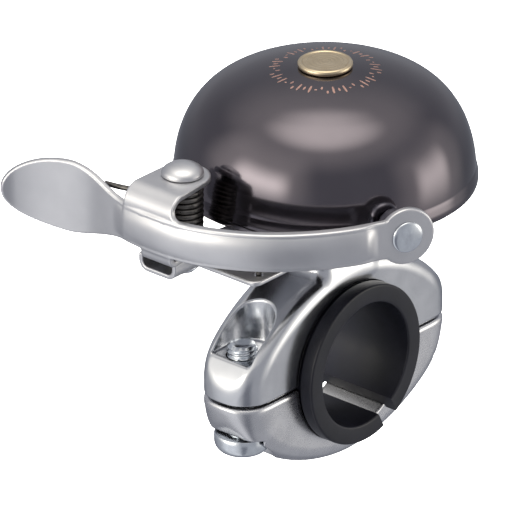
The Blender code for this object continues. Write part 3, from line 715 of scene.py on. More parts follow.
def clamp_body(x, y, z, end_inset):
    """The clamp's solid before its bore and split: round ends in plan, and rounded side edges."""
    crown = -CLAMP_OUTLINE.at(y, z)[0] - 0.2
    straight = CLAMP_HALF_Y - CLAMP_HALF_X - end_inset
    plan = np.hypot(x, np.maximum(np.abs(y) - straight, 0)) - CLAMP_HALF_X
    body = meet(crown, np.abs(x) - CLAMP_HALF_X, CLAMP_FILLET)
    return meet(body, plan - 0.2, 1.0)


def clamp_upper_field(x, y, z):
    body = clamp_body(x, y, z, 0.0)
    beside = np.maximum(np.abs(x) - BOSS_HALF[0] + BOSS_CORNER, 0)
    behind = np.maximum(np.abs(y) - BOSS_HALF[1] + BOSS_CORNER, 0)
    boss = meet(np.hypot(beside, behind) - BOSS_CORNER, z - CLAMP_HIGH[2], 0.4)
    body = join(body, meet(boss, CLAMP_TOP_Z - BOSS_DEPTH - z, 0.5), 1.6)
    body = meet(body, SPLIT_UPPER_Z - z, 0.35)
    body = cut(body, np.hypot(y, z) - BORE_R, BORE_FILLET)
    out = np.abs(y)
    slot_run = np.maximum(SCREW_Y - POCKET_LENGTH - out, 0)
    pocket = meet(np.hypot(x, slot_run) - POCKET_R, POCKET_FLOOR_Z - z, 0.5)
    body = cut(body, pocket, 0.45)
    body = cut(body, np.hypot(x, out - SCREW_Y) - SCREW_HOLE_R, 0.2)
    seat = meet(np.hypot(x, y) - BOSS_SEAT_R, z - BOSS_SEAT_Z, 0.2)
    return cut(cut(body, seat, 0.2), np.hypot(x, y) - POST_HOLE_R, 0.15)


def clamp_lower_field(x, y, z):
    depth = np.maximum(SPLIT_LOWER_Z - LOBE_STRAIGHT - z, 0)
    body = clamp_body(x, y, z, LOBE_TAPER * depth)
    body = meet(body, z - SPLIT_LOWER_Z, 0.9)
    body = cut(body, np.hypot(y, z) - BORE_R, BORE_FILLET)
    out = np.abs(y)
    plan = np.minimum(SCREW_Y + 1.0 - out, np.hypot(x, out - SCREW_Y) - HEAD_POCKET_R)
    body = cut(body, meet(plan, z - LOBE_UNDERSIDE_Z, 0.5), 0.4)
    return cut(body, np.hypot(x, out - SCREW_Y) - SCREW_HOLE_R, 0.2)


def make_clamp():
    upper = field_mesh("clamp_upper_casting", clamp_upper_field, CLAMP_LOW, CLAMP_HIGH, CELL)
    place(upper, "cast", "root", "clamp_upper")
    lower = field_mesh("clamp_lower_casting", clamp_lower_field, LOWER_LOW, LOWER_HIGH, CELL)
    place(lower, "cast_satin", "lower_half", "clamp_lower")


def hexagon(corner_r, steps):
    """The radius of a hexagon at each of the angles of a ring."""
    angles = np.arange(steps) * 2 * pi / steps
    return corner_r * cos(pi / 6) / np.cos(angles % (pi / 3) - pi / 6)


def thread_radius(height, steps, outer, pitch, depth):
    """The radius round a screw at one height, on a rounded thread."""
    angles = np.arange(steps) / steps
    phase = (height / pitch - angles) % 1.0
    return outer - depth * (0.5 - 0.5 * np.cos(2 * pi * phase)) ** 0.8


def threaded_rings(top, bottom, outer, pitch, depth, steps, centre, chamfer=0.7):
    """Rings down a thread, its top end chamfered."""
    count = int((top - bottom) / pitch * 10)
    rings = []
    for i in range(count + 1):
        height = top - (top - bottom) * i / count
        radius = thread_radius(height, steps, outer, pitch, depth)
        limit = outer - chamfer + (top - height)
        fade = np.clip((height - bottom) / (1.5 * pitch), 0, 1)
        radius = outer - (outer - radius) * fade
        rings.append(circle(np.minimum(radius, limit), height, steps, centre))
    return rings


def make_clamp_screw(name, node, body, side):
    """A domed-head screw from below. Its threaded tip stands in the upper casting's pocket."""
    steps = 96
    centre = (0, side * SCREW_Y)
    low, high = node_box(node)
    bottom, tip = low[2], high[2]
    head_r, head_top = high[0], LOBE_UNDERSIDE_Z - 0.3
    rings = circles([(0, tip), (SCREW_TIP_R, tip)], steps, centre)
    rings += threaded_rings(
        tip - 0.02, SCREW_THREAD_END_Z, SCREW_R, SCREW_PITCH, SCREW_THREAD_DEPTH, steps, centre
    )
    head = [(SCREW_R, head_top), (head_r - 0.2, head_top)]
    head += [(head_r, head_top - 0.3), (head_r, head_top - 1.3)]
    head += arc_points((head_r - HEAD_ROUND_R, bottom + HEAD_ROUND_R), HEAD_ROUND_R, 0, -90, 10)
    socket = hexagon(HEAD_SOCKET_R, steps)
    for grow, height in ((0.25, 0.0), (0.06, 0.12), (0.0, 0.35), (0.0, HEAD_SOCKET_DEPTH)):
        head.append((socket + grow, bottom + height))
    head.append((0, bottom + HEAD_SOCKET_DEPTH + 0.4))
    rings += circles(head, steps, centre)
    screw = ring_mesh(name, rings, sharp_angle=50)
    place(screw, "zinc", body, node)


def make_shim():
    """The split rubber sleeve, flanged on both sides of the clamp."""
    half_x, flange_x = SHIM_HIGH[0], CLAMP_HALF_X + 0.3
    side = [(SHIM_BODY_R, flange_x), (SHIM_FLANGE_R, flange_x)]
    side += [(SHIM_FLANGE_R, half_x), (SHIM_BORE_R, half_x)]
    outline = side + [(radius, -x) for radius, x in reversed(side)]
    shim = split_ring("bar_shim_sleeve", filleted(outline, 0.5, steps=6), SHIM_SLIT_TURN, SHIM_SLIT_HALF)
    # The sweep turns about Z. This puts its axis along the bar, its angles from +Y round to +Z.
    shim.data.transform(Matrix(((0, 0, 1, 0), (1, 0, 0, 0), (0, 1, 0, 0), (0, 0, 0, 1))))
    place(shim, "rubber", "root", "bar_shim")


# ---------------------------------------------------------------- the bracket and post


def bracket_outline():
    """The plate in plan: a wide front under the lever, and a narrower back on the clamp's boss."""
    right_x, back_y = BRACKET_HIGH[0], BRACKET_HIGH[1]
    right = [
        (right_x, PLATE_FRONT_Y), (right_x, PLATE_SHOULDER_Y),
        (PLATE_BACK_HALF_X, PLATE_WAIST_Y), (PLATE_BACK_HALF_X, back_y),
    ]
    left = [
        (-PLATE_BACK_HALF_X, back_y), (-PLATE_BACK_HALF_X, PLATE_WAIST_Y),
        (PLATE_LEFT_X, PLATE_SHOULDER_Y), (PLATE_LEFT_X, PLATE_FRONT_Y),
    ]
    return PlaneCurve(filleted(right + left, PLATE_CORNER_R, steps=12), closed=True, reach=12)


BRACKET_OUTLINE = bracket_outline()


def from_pivot(x, y):
    """The distance from the lever's pivot, seen from above."""
    return np.hypot(x - PIVOT[0], y - PIVOT[1])


def bracket_field(x, y, z):
    """A sheet plate, and the channel that runs forward from it under the lever."""
    plan = -BRACKET_OUTLINE.at(x, y)[0]
    plate = meet(plan, np.abs(z - PLATE_Z - SHEET / 2) - SHEET / 2, 0.3)
    across = np.abs(x - PIVOT[0])
    outer = meet(across - TONGUE_HALF_X, PLATE_Z - z, TONGUE_BEND_R)
    inner = meet(across - TONGUE_HALF_X + SHEET, PLATE_TOP - z, TONGUE_BEND_R - SHEET)
    channel = meet(cut(outer, inner, 0.25), z - BRACKET_HIGH[2], 0.3)
    ends = np.maximum(BRACKET_LOW[1] - y, y - TONGUE_BACK_Y)
    body = join(plate, meet(channel, ends, 0.3), 0.3)
    body = cut(body, np.hypot(x, y) - POST_HOLE_R, 0.1)
    body = cut(body, from_pivot(x, y) - PIN_R - 0.3, 0.1)
    return cut(body, np.hypot(x - SPRING_HOLE[0], y - SPRING_HOLE[1]) - SPRING_HOLE_R, 0.1)


def make_bracket():
    bracket = field_mesh("base_bracket_plate", bracket_field, BRACKET_LOW, BRACKET_HIGH, 0.25)
    place(bracket, "sheet", "root", "base_bracket")


def make_boss_screw():
    """The M4 screw that comes up through the clamp's boss and the bracket, into the post."""
    steps = 60
    low, high = node_box("boss_screw")
    bottom, tip, head_r = low[2], high[2], high[0]
    rings = circles([(0, tip), (POST_SCREW_R - 1, tip)], steps)
    rings += threaded_rings(
        tip - 0.02, BOSS_THREAD_END_Z, POST_SCREW_R, POST_PITCH, 0.35, steps, (0, 0), chamfer=0.5
    )
    corners = [(POST_SCREW_R, BOSS_HEAD_TOP_Z), (head_r, BOSS_HEAD_TOP_Z), (head_r, bottom), (1.8, bottom)]
    rings += circles(filleted(corners, 0.5, closed=False), steps)
    socket = hexagon(BOSS_SOCKET_R, steps)
    rings += circles([(socket, bottom + 0.15), (socket, bottom + 1.2), (0, bottom + 1.3)], steps)
    place(ring_mesh("boss_screw_m4", rings), "zinc", "root", "boss_screw")


def make_post():
    """The pillar that holds the dome up: a collar at its top, a groove, and a flared foot."""
    low, high = node_box("centre_post")
    bottom, top, foot_r = low[2], high[2], high[0]
    collar_r, groove_r = POST_R + 0.6, POST_R - 0.25
    outline = [
        (POST_HOLE_R, top), (collar_r, top), (collar_r, top - 1.5), (POST_R, top - 2.2),
        (POST_R, top - 7.0), (groove_r, top - 7.3), (groove_r, top - 8.1), (POST_R, top - 8.4),
        (POST_R, bottom + 3.6), (foot_r, bottom + 2.4), (foot_r, bottom), (POST_HOLE_R, bottom),
    ]
    post = turned("centre_post_pillar", filleted(outline, 0.35, steps=4))
    place(post, "zinc", "root", "centre_post")


def make_lock_washer():
    low, high = node_box("lock_washer")
    outline = [(POST_HOLE_R, low[2]), (high[0], low[2]), (high[0], high[2]), (POST_HOLE_R, high[2])]
    outline = filleted(outline, 0.15, steps=3)
    washer = split_ring("split_lock_washer", outline, 0, WASHER_SLIT_HALF, WASHER_LIFT, steps=90)
    place(washer, "zinc", "root", "lock_washer")


def make_ring(name, node, inner_r, finish, centre=(0, 0), groove=False):
    """A washer or a sleeve, its edges rounded, with a moulding groove where it is asked for."""
    low, high = node_box(node)
    outer_r = (high[0] - low[0]) / 2
    bottom, top = low[2], high[2]
    outline = [(inner_r, top), (outer_r, top)]
    if groove:
        middle = (bottom + top) / 2
        outline += [(outer_r, middle + 0.2), (outer_r - 0.15, middle), (outer_r, middle - 0.2)]
    outline += [(outer_r, bottom), (inner_r, bottom)]
    ring = turned(name, filleted(outline, 0.18, steps=4), 72, centre)
    place(ring, finish, "root", node)


# ---------------------------------------------------------------- the dome and its cap


def shoulder_z(radius):
    radial, axial = SHOULDER_POWERS
    return SHOULDER_H * (1 - (radius / DOME_R) ** radial) ** (1 / axial)


def crown_sphere():
    """The radius, and the centre's height, of a sphere that carries on the shoulder's slope."""
    step = 0.001
    slope = (shoulder_z(CROWN_FROM_R) - shoulder_z(CROWN_FROM_R + step)) / step
    radius = CROWN_FROM_R * sqrt(1 + slope * slope) / slope
    return radius, shoulder_z(CROWN_FROM_R) - sqrt(radius**2 - CROWN_FROM_R**2)


SPHERE_R, SPHERE_Z = crown_sphere()


def crown_drop(radius):
    """How much flatter the crown is than that sphere."""
    return CROWN_DROP * (1 - float(smooth_step(radius, SEAT_R, CROWN_FROM_R - 2)))


def crown_z(radius):
    return SPHERE_Z + sqrt(SPHERE_R**2 - radius**2) - crown_drop(radius)


def dome_outer():
    """(radius, height above the rim) down the outside, from the cap's seat to the rim."""
    crown = [(radius, crown_z(radius)) for radius in np.linspace(SEAT_R + 0.4, CROWN_FROM_R, 26)]
    first = asin((CROWN_FROM_R / DOME_R) ** (SHOULDER_POWERS[0] / 2))
    shoulder = []
    for angle in np.linspace(first, radians(89), 70)[1:]:
        radius = DOME_R * sin(angle) ** (2 / SHOULDER_POWERS[0])
        shoulder.append((radius, shoulder_z(radius)))
    shoulder = [point for point in shoulder if point[1] > LIP_H]
    wall = [(DOME_R, LIP_H - 0.1), (DOME_R + 0.05, LIP_H - 0.7)]
    wall += [(LIP_R - 0.02, LIP_H - 1.4), (LIP_R, LIP_H - 2)]
    lip = [(LIP_R, 0.45), (LIP_R - 0.08, 0.2), (LIP_R - 0.25, 0.05), (LIP_R - 0.5, 0.0)]
    seat = [(DOME_HOLE_R, crown_z(SEAT_R)), (SEAT_R, crown_z(SEAT_R))]
    return seat + crown + shoulder + wall + lip


def offset_inwards(points, distance):
    points = np.array(points)
    run = np.gradient(points, axis=0)
    run /= np.linalg.norm(run, axis=1)[:, None]
    return np.column_stack([points[:, 0] + run[:, 1] * distance, points[:, 1] - run[:, 0] * distance])


def make_dome():
    outer = dome_outer()
    inside_from = [point for point in outer if point[1] > LIP_H]
    offset = offset_inwards(inside_from, DOME_WALL)
    inner = [(radius, height + crown_drop(radius)) for radius, height in offset]
    inner[0] = (DOME_HOLE_R, inner[0][1])
    inner += [(DOME_R - DOME_WALL, LIP_H), (DOME_R - DOME_WALL + 0.15, 0.5), (LIP_R - 0.95, 0.05)]
    profile = [(radius, RIM_Z + height) for radius, height in outer + inner[::-1]]
    dome = turned("bell_dome_shell", profile, 240)
    place(dome, "dome", "root", "bell_dome")


def crown_sliver(radial_from, radial_to, turn, half_width, rows):
    """The points of a thin sliver that lies on the crown and runs outwards between two radii."""
    lift, sink, end_taper = 0.02, 0.08, 0.55
    points = []
    for i in range(rows):
        radius = radial_from + (radial_to - radial_from) * i / (rows - 1)
        half = half_width * (end_taper if i in (0, rows - 1) else 1.0)
        for side, offset in ((-half, lift), (half, lift), (half, -sink), (-half, -sink)):
            x, y = radius * cos(turn) - side * sin(turn), radius * sin(turn) + side * cos(turn)
            points.append((x, y, RIM_Z + crown_z(float(np.hypot(x, y))) + offset))
    return points


def make_marks():
    """A plain ring of ticks round the crown: long ones, short ones and dots in turn."""
    count, rows = 54, 5
    long_tick, short_tick, dot = (8.7, 10.9, 0.2), (9.3, 10.3, 0.2), (9.62, 9.98, 0.24)
    inner_tick, outer_tick = (8.7, 9.6, 0.2), (10.0, 10.9, 0.2)
    kinds = (long_tick, short_tick, long_tick, dot, inner_tick, outer_tick)
    points, faces = [], []
    for i in range(count):
        inner, outer, half_width = kinds[i % len(kinds)]
        faces += [tuple(len(points) + corner for corner in side) for side in tube_faces(rows, 4)]
        points += crown_sliver(inner, outer, 2 * pi * i / count, half_width, rows)
    marks = make_mesh("crown_tick_ring", points, faces)
    marks.data.materials.append(FINISHES["marks"])
    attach(marks, "root")


def make_cap():
    """The brass cap screw: a low disc cut in rings, on a threaded shank."""
    steps = 120
    seat, cap_r = RIM_Z + crown_z(SEAT_R) + 0.1, CAP_HIGH[0]
    top, bottom = CAP_HIGH[2] - CROWN_DROP, CAP_LOW[2]
    ring_spacing, ring_depth, edge_width = 0.84, 0.035, 0.95
    face = [(0, top - 0.12)]
    for radius in np.arange(0.3, cap_r - edge_width, ring_spacing / 7):
        groove = ring_depth * (0.5 - 0.5 * cos(2 * pi * radius / ring_spacing))
        face.append((radius, top - 0.1 - groove))
    face += [(cap_r - edge_width, top - 0.16), (cap_r - 0.8, top - 0.02), (cap_r - 0.55, top)]
    face += [(cap_r - 0.3, top - 0.04), (cap_r - 0.1, top - 0.18), (cap_r, top - 0.4)]
    face += [(cap_r, seat + 0.35), (cap_r - 0.06, seat + 0.15), (cap_r - 0.25, seat), (POST_SCREW_R, seat)]
    rings = circles(face, steps)
    for height in np.linspace(seat - 0.8, bottom, 91):
        radius = thread_radius(height, steps, POST_SCREW_R, POST_PITCH, 0.3)
        rings.append(circle(np.minimum(radius, POST_SCREW_R - 0.5 + height - bottom), height, steps))
    rings.append(circle(0, bottom, steps))
    place(ring_mesh("dome_cap_screw", rings), "brass", "root", "dome_screw")


# ---------------------------------------------------------------- the lever


def radial(azimuth):
    """The unit directions outwards and round the dome's axis at an azimuth."""
    return np.array([cos(azimuth), sin(azimuth)]), np.array([-sin(azimuth), cos(azimuth)])


OUTWARDS, ALONG = radial(STRIKER_AZIMUTH)


def lever_path():
    """The middle of the lever's sheet seen from above, from the pad's tip to the eye's far edge."""
    eye = OUTWARDS * EYE_RADIUS_AT
    bend = [
        (-39.6, -51.8), (-36.0, -48.4), (-30.0, -45.4), (-22.0, -43.9), (-14.0, -44.7), (-5.0, -45.7),
        (3.5, -45.2), (11.0, -42.6), (18.3, -38.0), (24.3, -32.0), (28.7, -25.6),
    ]
    return PlaneCurve(smooth_path(bend + [eye - ALONG * EYE_R, eye, eye + ALONG * EYE_R]), reach=16)


PATH = lever_path()
EYE_AT = PATH.length - EYE_R


def lever_edges(distance):
    """The height of the lever's lower and upper edge at a distance along it, before the eye."""
    t = np.clip((distance - PAD_TIP_AT) / (PAD_LENGTH - PAD_TIP_AT), 0, 1)
    pad = PAD_HALF_H * np.sqrt(np.maximum(1 - np.minimum(2 * t - 1, 0) ** 2, 0))
    blend = smooth_step(distance, 0.5 * PAD_LENGTH, PAD_LENGTH)
    half = pad * (1 - blend) + BAND_HALF_H * blend
    middle = LEVER_Z + PAD_RAISED * (1 - blend)
    return middle - half, middle + half


def lever_outline():
    """The lever's outline on its sheet: distance along it, and height."""
    eye_from = EYE_AT - sqrt(EYE_R**2 - BAND_HALF_H**2)
    close_part = 8.0
    tip = PAD_TIP_AT + (1 - np.cos(np.linspace(0, pi / 2, 60))) * close_part
    stations = np.concatenate([tip, np.linspace(tip[-1], eye_from - 0.4, 300)[1:]])
    lower, upper = lever_edges(stations)
    under = list(zip(stations, lower))
    over = list(zip(stations[::-1], upper[::-1]))
    half_gap = np.degrees(np.arcsin(BAND_HALF_H / EYE_R))
    ring = arc_points((EYE_AT, LEVER_Z), EYE_R, -180 + half_gap, 180 - half_gap, 120)
    return PlaneCurve(under + ring + over[:-1], closed=True, reach=12, spacing=0.15)


LEVER_OUTLINE = lever_outline()


def rib(distance, height):
    """How far the rounded rib stands out, and how steeply it rises across the lever."""
    start = smooth_step(distance, *RIB_START)
    end = smooth_step(EYE_AT - EYE_R - distance, *RIB_END)
    t = np.clip((height - LEVER_Z) / RIB_HALF_H, -1, 1)
    shape = (1 - t**2) * (1 + 0.45 * t**2)
    slope = (0.9 * t * (1 - t**2) - 2 * t * (1 + 0.45 * t**2)) / RIB_HALF_H
    return RIB_RISE * start * end * shape, RIB_RISE * start * end * slope


def strip_field(x, y, z):
    """The pad, band and eye."""
    left, distance = PATH.at(x, y)
    rise, slope = rib(distance, z)
    sheet = np.abs(-left - rise) / np.sqrt(1 + slope**2) - LEVER_SHEET / 2
    return meet(sheet, -LEVER_OUTLINE.at(distance, z)[0], 0.42)


def ear_section():
    """The fold that makes both ears, seen from the side: its middle line, from the upper ear down."""
    half = EAR_SHEET / 2
    back_y = -25.0
    upper = (EAR_FACE_Y + EAR_BEND_R, EAR_TOP_Z - EAR_BEND_R)
    lower = (EAR_FACE_Y + EAR_LOW_BEND_R, EAR_BOTTOM_Z + EAR_LOW_BEND_R)
    line = [(back_y, EAR_TOP_Z - half)]
    line += arc_points(upper, EAR_BEND_R - half, 90, 180, 40)
    line += arc_points(lower, EAR_LOW_BEND_R - half, 180, 270, 30)
    return PlaneCurve(line + [(back_y, EAR_BOTTOM_Z + half)], reach=10)


EAR_SECTION = ear_section()


def ear_field(x, y, z):
    """The folded ears: a flat top, a round bend into the band, and a lower ear under it."""
    fold = np.abs(EAR_SECTION.at(y, z)[0]) - EAR_SHEET / 2
    above = z - LEVER_Z - BAND_HALF_H
    near = np.clip(EAR_FLARE_R - above, 0, EAR_FLARE_R - 0.02)
    rest = np.sqrt(EAR_FLARE_R**2 - near**2)
    flare = np.where(z > LEVER_Z, EAR_FLARE_R - rest, 0)
    steep = np.where((z > LEVER_Z) & (above < EAR_FLARE_R), near / rest, 0)
    right = x - PIVOT[0] - EAR_END_R - EAR_TAPER * (PIVOT[1] - y) - flare
    right = right / np.sqrt(1 + np.minimum(steep, 4) ** 2)
    sides = np.maximum(right, PIVOT[0] - EAR_END_R - x)
    plan = np.where(y > PIVOT[1], from_pivot(x, y) - EAR_END_R, sides)
    corner = (EAR_CORNER_X - x) * cos(EAR_CORNER_TURN) - (y - EAR_FACE_Y) * sin(EAR_CORNER_TURN)
    plan = np.where(z < LEVER_Z - 3, np.maximum(plan, corner), plan)
    return meet(fold, plan, 0.35)


def lever_field(x, y, z):
    body = join(strip_field(x, y, z), ear_field(x, y, z), 0.45)
    body = cut(body, from_pivot(x, y) - BUSH_R - 0.05, 0.15)
    out = x * OUTWARDS[0] + y * OUTWARDS[1]
    across = x * ALONG[0] + y * ALONG[1]
    hole = meet(np.hypot(across, z - LEVER_Z) - EYE_HOLE_R, EYE_RADIUS_AT - 6 - out, 0.2)
    return cut(body, hole, 0.1)


def make_lever():
    lever = field_mesh("striker_lever_sheet", lever_field, LEVER_LOW, LEVER_HIGH, 0.28)
    place(lever, "sheet", "lever", "striker_lever")


def make_striker():
    """The headed stud in the lever's eye, its striking end towards the dome."""
    face = LEVER_SHEET / 2 + 0.06
    tip = DOME_R + STRIKER_GAP - EYE_RADIUS_AT
    profile = [(0, face + STRIKER_HEAD_H)]
    for angle in np.linspace(0, pi / 2, 13)[1:]:
        height = STRIKER_HEAD_H * (0.12 + 0.88 * max(cos(angle), 0) ** 0.9)
        profile.append((STRIKER_HEAD_R * sin(angle), face + height))
    profile += [(STRIKER_HEAD_R, face), (STRIKER_NECK_R, face), (STRIKER_NECK_R, -face)]
    profile += [(STRIKER_BODY_R, -face), (STRIKER_BODY_R, tip + 1.2), (STRIKER_BODY_R - 0.2, tip + 0.6)]
    profile += [(2.9, tip + 0.25), (2.2, tip + 0.06), (0, tip)]
    striker = turned("striker_stud", profile)
    outwards = Vector((*OUTWARDS, 0))
    turn = outwards.to_track_quat("Z", "Y").to_matrix().to_4x4()
    middle = outwards * EYE_RADIUS_AT + Vector((0, 0, LEVER_Z))
    striker.data.transform(Matrix.Translation(middle * MM) @ turn)
    place(striker, "zinc", "lever", "striker")


# ---------------------------------------------------------------- the pivot and its spring


def make_pin():
    """The pivot rivet: a low domed head, a plain shank and a peened tail."""
    low, top, tail = EAR_TOP_Z + 0.1, PIN_HIGH[2], PIN_LOW[2]
    edge = low + 0.3
    profile = [(0, top)]
    for angle in np.linspace(0, pi / 2, 17)[1:]:
        profile.append((PIN_HEAD_R * sin(angle) ** 0.9, edge + (top - edge) * cos(angle)))
    profile += [(PIN_HEAD_R, low + 0.12), (PIN_HEAD_R - 0.15, low), (PIN_R, low), (PIN_R, PIN_TAIL_TOP_Z)]
    profile += [(PIN_TAIL_R - 0.15, PIN_TAIL_TOP_Z), (PIN_TAIL_R, PIN_TAIL_TOP_Z - 0.15)]
    profile += [(PIN_TAIL_R - 0.15, tail + 0.2), (1.9, tail), (0, tail)]
    pin = turned("pivot_rivet", profile, centre=PIVOT[:2])
    place(pin, "sheet", "root", "pivot_pin")


def spring_path():
    """From the leg on the lever, round the coils, to the leg hooked into the bracket."""
    leg = [np.array([-19.0, -42.1, 44.6]), np.array([-13.0, -41.6, 45.1])]
    hook = [np.array([2.0, -34.9, 36.1]), np.array([8.0, -31.4, 35.9]), np.array([9.7, -31.1, 34.9])]
    hook += [np.array([*SPRING_HOLE, height]) for height in (33.2, PLATE_Z + 0.1)]
    coil = []
    for part in np.linspace(0, 1, int(SPRING_TURNS * 48) + 1):
        angle = SPRING_START + 2 * pi * SPRING_TURNS * part
        height = (SPRING_TOP_Z - 0.1) * (1 - part) + SPRING_BOTTOM_Z * part
        flat = PIVOT[:2] + SPRING_R * np.array([cos(angle), sin(angle)])
        coil.append(np.array([*flat, height]))
    return smooth_path([*leg, coil[0]], 12)[:-1] + coil + smooth_path([coil[-1], *hook], 10)[1:]


def make_spring():
    path = np.array(spring_path())
    run = np.gradient(path, axis=0)
    run /= np.linalg.norm(run, axis=1)[:, None]
    side = np.cross(run[0], (0, 0, 1.0))
    rings = []
    angles = np.arange(14) * 2 * pi / 14
    for point, along in zip(path, run):
        side = side - along * (side @ along)
        side /= np.linalg.norm(side)
        up = np.cross(along, side)
        rings.append(point + WIRE_R * (np.cos(angles)[:, None] * side + np.sin(angles)[:, None] * up))
    rings = [path[:1] - run[:1] * 0.12] + rings + [path[-1:] + run[-1:] * 0.05]
    spring = ring_mesh("torsion_spring_wire", rings[::-1])
    place(spring, "spring", None, "torsion_spring")
    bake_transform(spring)


# ---------------------------------------------------------------- the whole bell

make_clamp()
make_clamp_screw("front_clamp_screw", "clamp_screw_front", "front_screw", -1)
make_clamp_screw("rear_clamp_screw", "clamp_screw_rear", "rear_screw", 1)
make_shim()
make_bracket()
make_boss_screw()
make_post()
make_lock_washer()
make_ring("dome_isolator_washer", "dome_isolator", POST_HOLE_R, "nylon")
make_dome()
make_marks()
make_cap()
make_lever()
make_striker()
make_pin()
make_ring("pivot_bush_sleeve", "pivot_bush", PIN_R + 0.15, "nylon", PIVOT[:2])
make_ring("pivot_collar_spacer", "pivot_collar", BUSH_R + 0.1, "nylon", PIVOT[:2], groove=True)
make_ring("rivet_tail_washer", "rivet_washer", PIN_R + 0.2, "zinc", PIVOT[:2])
make_spring()

# ---------------------------------------------------------------- light, floor and camera

FLOOR_Z = -75.0
FLOOR_HALF = 4000.0
CAMERA_AZIMUTH = radians(41.115)
CAMERA_ELEVATION = radians(25.569)
CAMERA_DISTANCE = 1802.0
VIEW_WIDTH = 98.9
AIM = (0, 0, 20.0)
AIM_RIGHT, AIM_UP = -13.49, 0.22
SENSOR = 36.0

WARM, WHITE = (1.0, 0.95, 0.84), (1.0, 1.0, 1.0)
TENT_BASE = (0.405, 0.415, 0.45)
PANEL_FULL = 0.35
PANEL_FADE = 0.2
LIGHT_DISTANCE = 900.0
LIGHT_AIM_Z = 30.0


def make_camera():
    back = Vector((
        sin(CAMERA_AZIMUTH) * cos(CAMERA_ELEVATION),
        -cos(CAMERA_AZIMUTH) * cos(CAMERA_ELEVATION),
        sin(CAMERA_ELEVATION),
    ))
    turn = (-back).to_track_quat("-Z", "Y")
    right, up = turn @ Vector((1, 0, 0)), turn @ Vector((0, 1, 0))
    data = bpy.data.cameras.new("camera")
    camera = bpy.data.objects.new("camera", data)
    bpy.context.scene.collection.objects.link(camera)
    aim = Vector(AIM) + right * AIM_RIGHT + up * AIM_UP
    camera.location = (aim + back * CAMERA_DISTANCE) * MM
    camera.rotation_mode = "QUATERNION"
    camera.rotation_quaternion = turn
    data.sensor_width = SENSOR
    data.lens = SENSOR * CAMERA_DISTANCE / VIEW_WIDTH
    data.clip_start, data.clip_end = 0.05, 50
    bpy.context.scene.camera = camera


def make_floor():
    """A plain pale floor, well under the bell, as a studio sweep is under a held-up object."""
    half = FLOOR_HALF
    points = [(x, y, FLOOR_Z) for x, y in ((-half, -half), (half, -half), (half, half), (-half, half))]
    floor = make_mesh("floor", points, [(0, 1, 2, 3)])
    nodes = Nodes("pale_floor")
    tone = nodes.tones(nodes.noise(300.0), (0.88, 0.88, 0.88), (0.92, 0.92, 0.92))
    glow = {"Emission_Color": (1, 1, 1, 1), "Emission_Strength": 0.75}
    floor.data.materials.append(nodes.shaded(Base_Color=tone, Roughness=0.8, **glow))
    for kind in ("diffuse", "glossy", "transmission", "shadow"):
        setattr(floor, f"visible_{kind}", False)


class Sky(Tree):
    """The world's tree. Its panels add up, each one depending on the direction that light comes from."""

    def __init__(self, world, base):
        super().__init__(world.node_tree)
        direction = self.add("ShaderNodeTexCoord").outputs["Generated"]
        flat = self.add("ShaderNodeVectorMath", {0: direction, 1: (1, 1, 0)}, operation="MULTIPLY")
        level = self.add("ShaderNodeVectorMath", {0: flat.outputs["Vector"]}, operation="NORMALIZE")
        self.heading = level.outputs["Vector"]
        self.height = self.add("ShaderNodeSeparateXYZ", {0: direction}).outputs["Z"]
        self.total = base

    def fade(self, value, start, end):
        inputs = {"Value": value, "From Min": start, "From Max": end}
        return self.add("ShaderNodeMapRange", inputs, interpolation_type="SMOOTHSTEP").outputs["Result"]

    def times(self, first, second):
        return self.add("ShaderNodeMath", {0: first, 1: second}, operation="MULTIPLY").outputs["Value"]

    def lit(self, value, colour, strength):
        """Adds light of this colour wherever the value is above 0. A negative strength takes it away."""
        light = [part * strength for part in colour]
        scaled = self.add("ShaderNodeVectorMath", {0: light, "Scale": value}, operation="SCALE")
        both = {0: self.total, 1: scaled.outputs["Vector"]}
        self.total = self.add("ShaderNodeVectorMath", both, operation="ADD").outputs["Vector"]

    def panel(self, turn, half_width, low, high, colour, strength):
        """A soft upright panel at a turn from the camera's side, both in degrees, between two heights.

        A height is the sine of an elevation. The panel is full over PANEL_FULL of its width, and fades
        over PANEL_FADE on each side of its two heights.
        """
        angle, half_width = CAMERA_AZIMUTH - pi / 2 + radians(turn), radians(half_width)
        towards = {0: self.heading, 1: (cos(angle), sin(angle), 0)}
        near = self.add("ShaderNodeVectorMath", towards, operation="DOT_PRODUCT").outputs["Value"]
        side = self.fade(near, cos(half_width), cos(PANEL_FULL * half_width))
        bottom = self.fade(self.height, low - PANEL_FADE, low + PANEL_FADE)
        top = self.fade(self.height, high + PANEL_FADE, high - PANEL_FADE)
        self.lit(self.times(self.times(side, bottom), top), colour, strength)


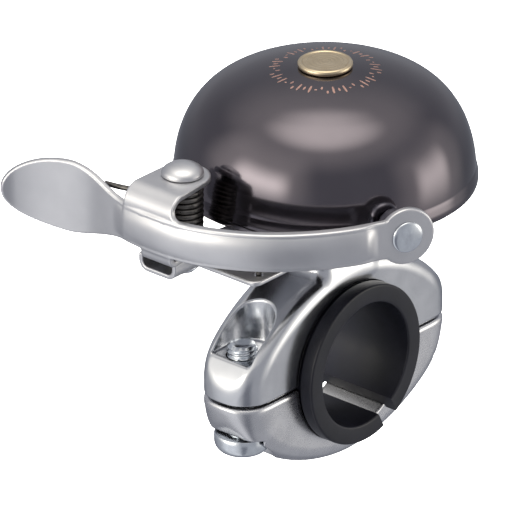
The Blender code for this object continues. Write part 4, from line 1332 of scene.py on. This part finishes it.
def make_world():
    """A light tent: a bright window at the left, a lamp at the right, a ceiling, and two dim gaps."""
    world = bpy.data.worlds.new("studio")
    bpy.context.scene.world = world
    world.use_nodes = True
    sky = Sky(world, TENT_BASE)
    # The window, the glow round it, and the pale ground under it
    sky.panel(turn=-53, half_width=29, low=0.08, high=0.36, colour=WARM, strength=3.9)
    sky.panel(turn=-60, half_width=55, low=0.0, high=0.70, colour=WARM, strength=0.8)
    sky.panel(turn=-50, half_width=48, low=-1.3, high=0.0, colour=WHITE, strength=0.36)
    # The lamp and the glow round it
    sky.panel(turn=90, half_width=20, low=-0.2, high=0.2, colour=WARM, strength=2.2)
    sky.panel(turn=90, half_width=42, low=-0.35, high=0.50, colour=WARM, strength=0.45)
    # The dim gaps: under the camera, and low down behind the bell
    sky.panel(turn=8, half_width=15, low=-1.3, high=-0.15, colour=WHITE, strength=-0.22)
    sky.panel(turn=180, half_width=75, low=-1.3, high=-0.1, colour=WHITE, strength=-0.18)
    # The ceiling, and the light in the middle of it
    sky.lit(sky.fade(sky.height, 0.45, 0.90), WARM, 0.5)
    sky.lit(sky.fade(sky.height, 0.84, 1.0), WARM, 2.0)
    # The camera sees a plain white background, and only reflections and soft light see the tent.
    seen = sky.add("ShaderNodeLightPath").outputs["Is Camera Ray"]
    mix = sky.add("ShaderNodeMix", {"Factor": seen, 6: sky.total, 7: (*WHITE, 1)}, data_type="RGBA")
    sky.feed(sky.tree.nodes["Background"], {"Color": mix.outputs[2]})


def make_light(name, turn, elevation, size, power, colour):
    """A soft area light that looks at the bell from a turn from the camera's side, in degrees."""
    angle, lift = CAMERA_AZIMUTH - pi / 2 + radians(turn), radians(elevation)
    back = Vector((cos(angle) * cos(lift), sin(angle) * cos(lift), sin(lift)))
    data = bpy.data.lights.new(name, "AREA")
    data.shape = "DISK"
    data.size = size * MM
    data.energy = power
    data.color = colour
    light = bpy.data.objects.new(name, data)
    bpy.context.scene.collection.objects.link(light)
    light.location = (back * LIGHT_DISTANCE + Vector((0, 0, LIGHT_AIM_Z))) * MM
    light.rotation_mode = "QUATERNION"
    light.rotation_quaternion = (-back).to_track_quat("-Z", "Y")
    light.visible_glossy = False


make_camera()
make_floor()
make_world()
make_light("key_left", turn=-75, elevation=42, size=350, power=9.0, colour=(1.0, 0.98, 0.96))
make_light("top_soft", turn=150, elevation=70, size=400, power=7.0, colour=WHITE)
bpy.context.scene.view_settings.view_transform = "Standard"
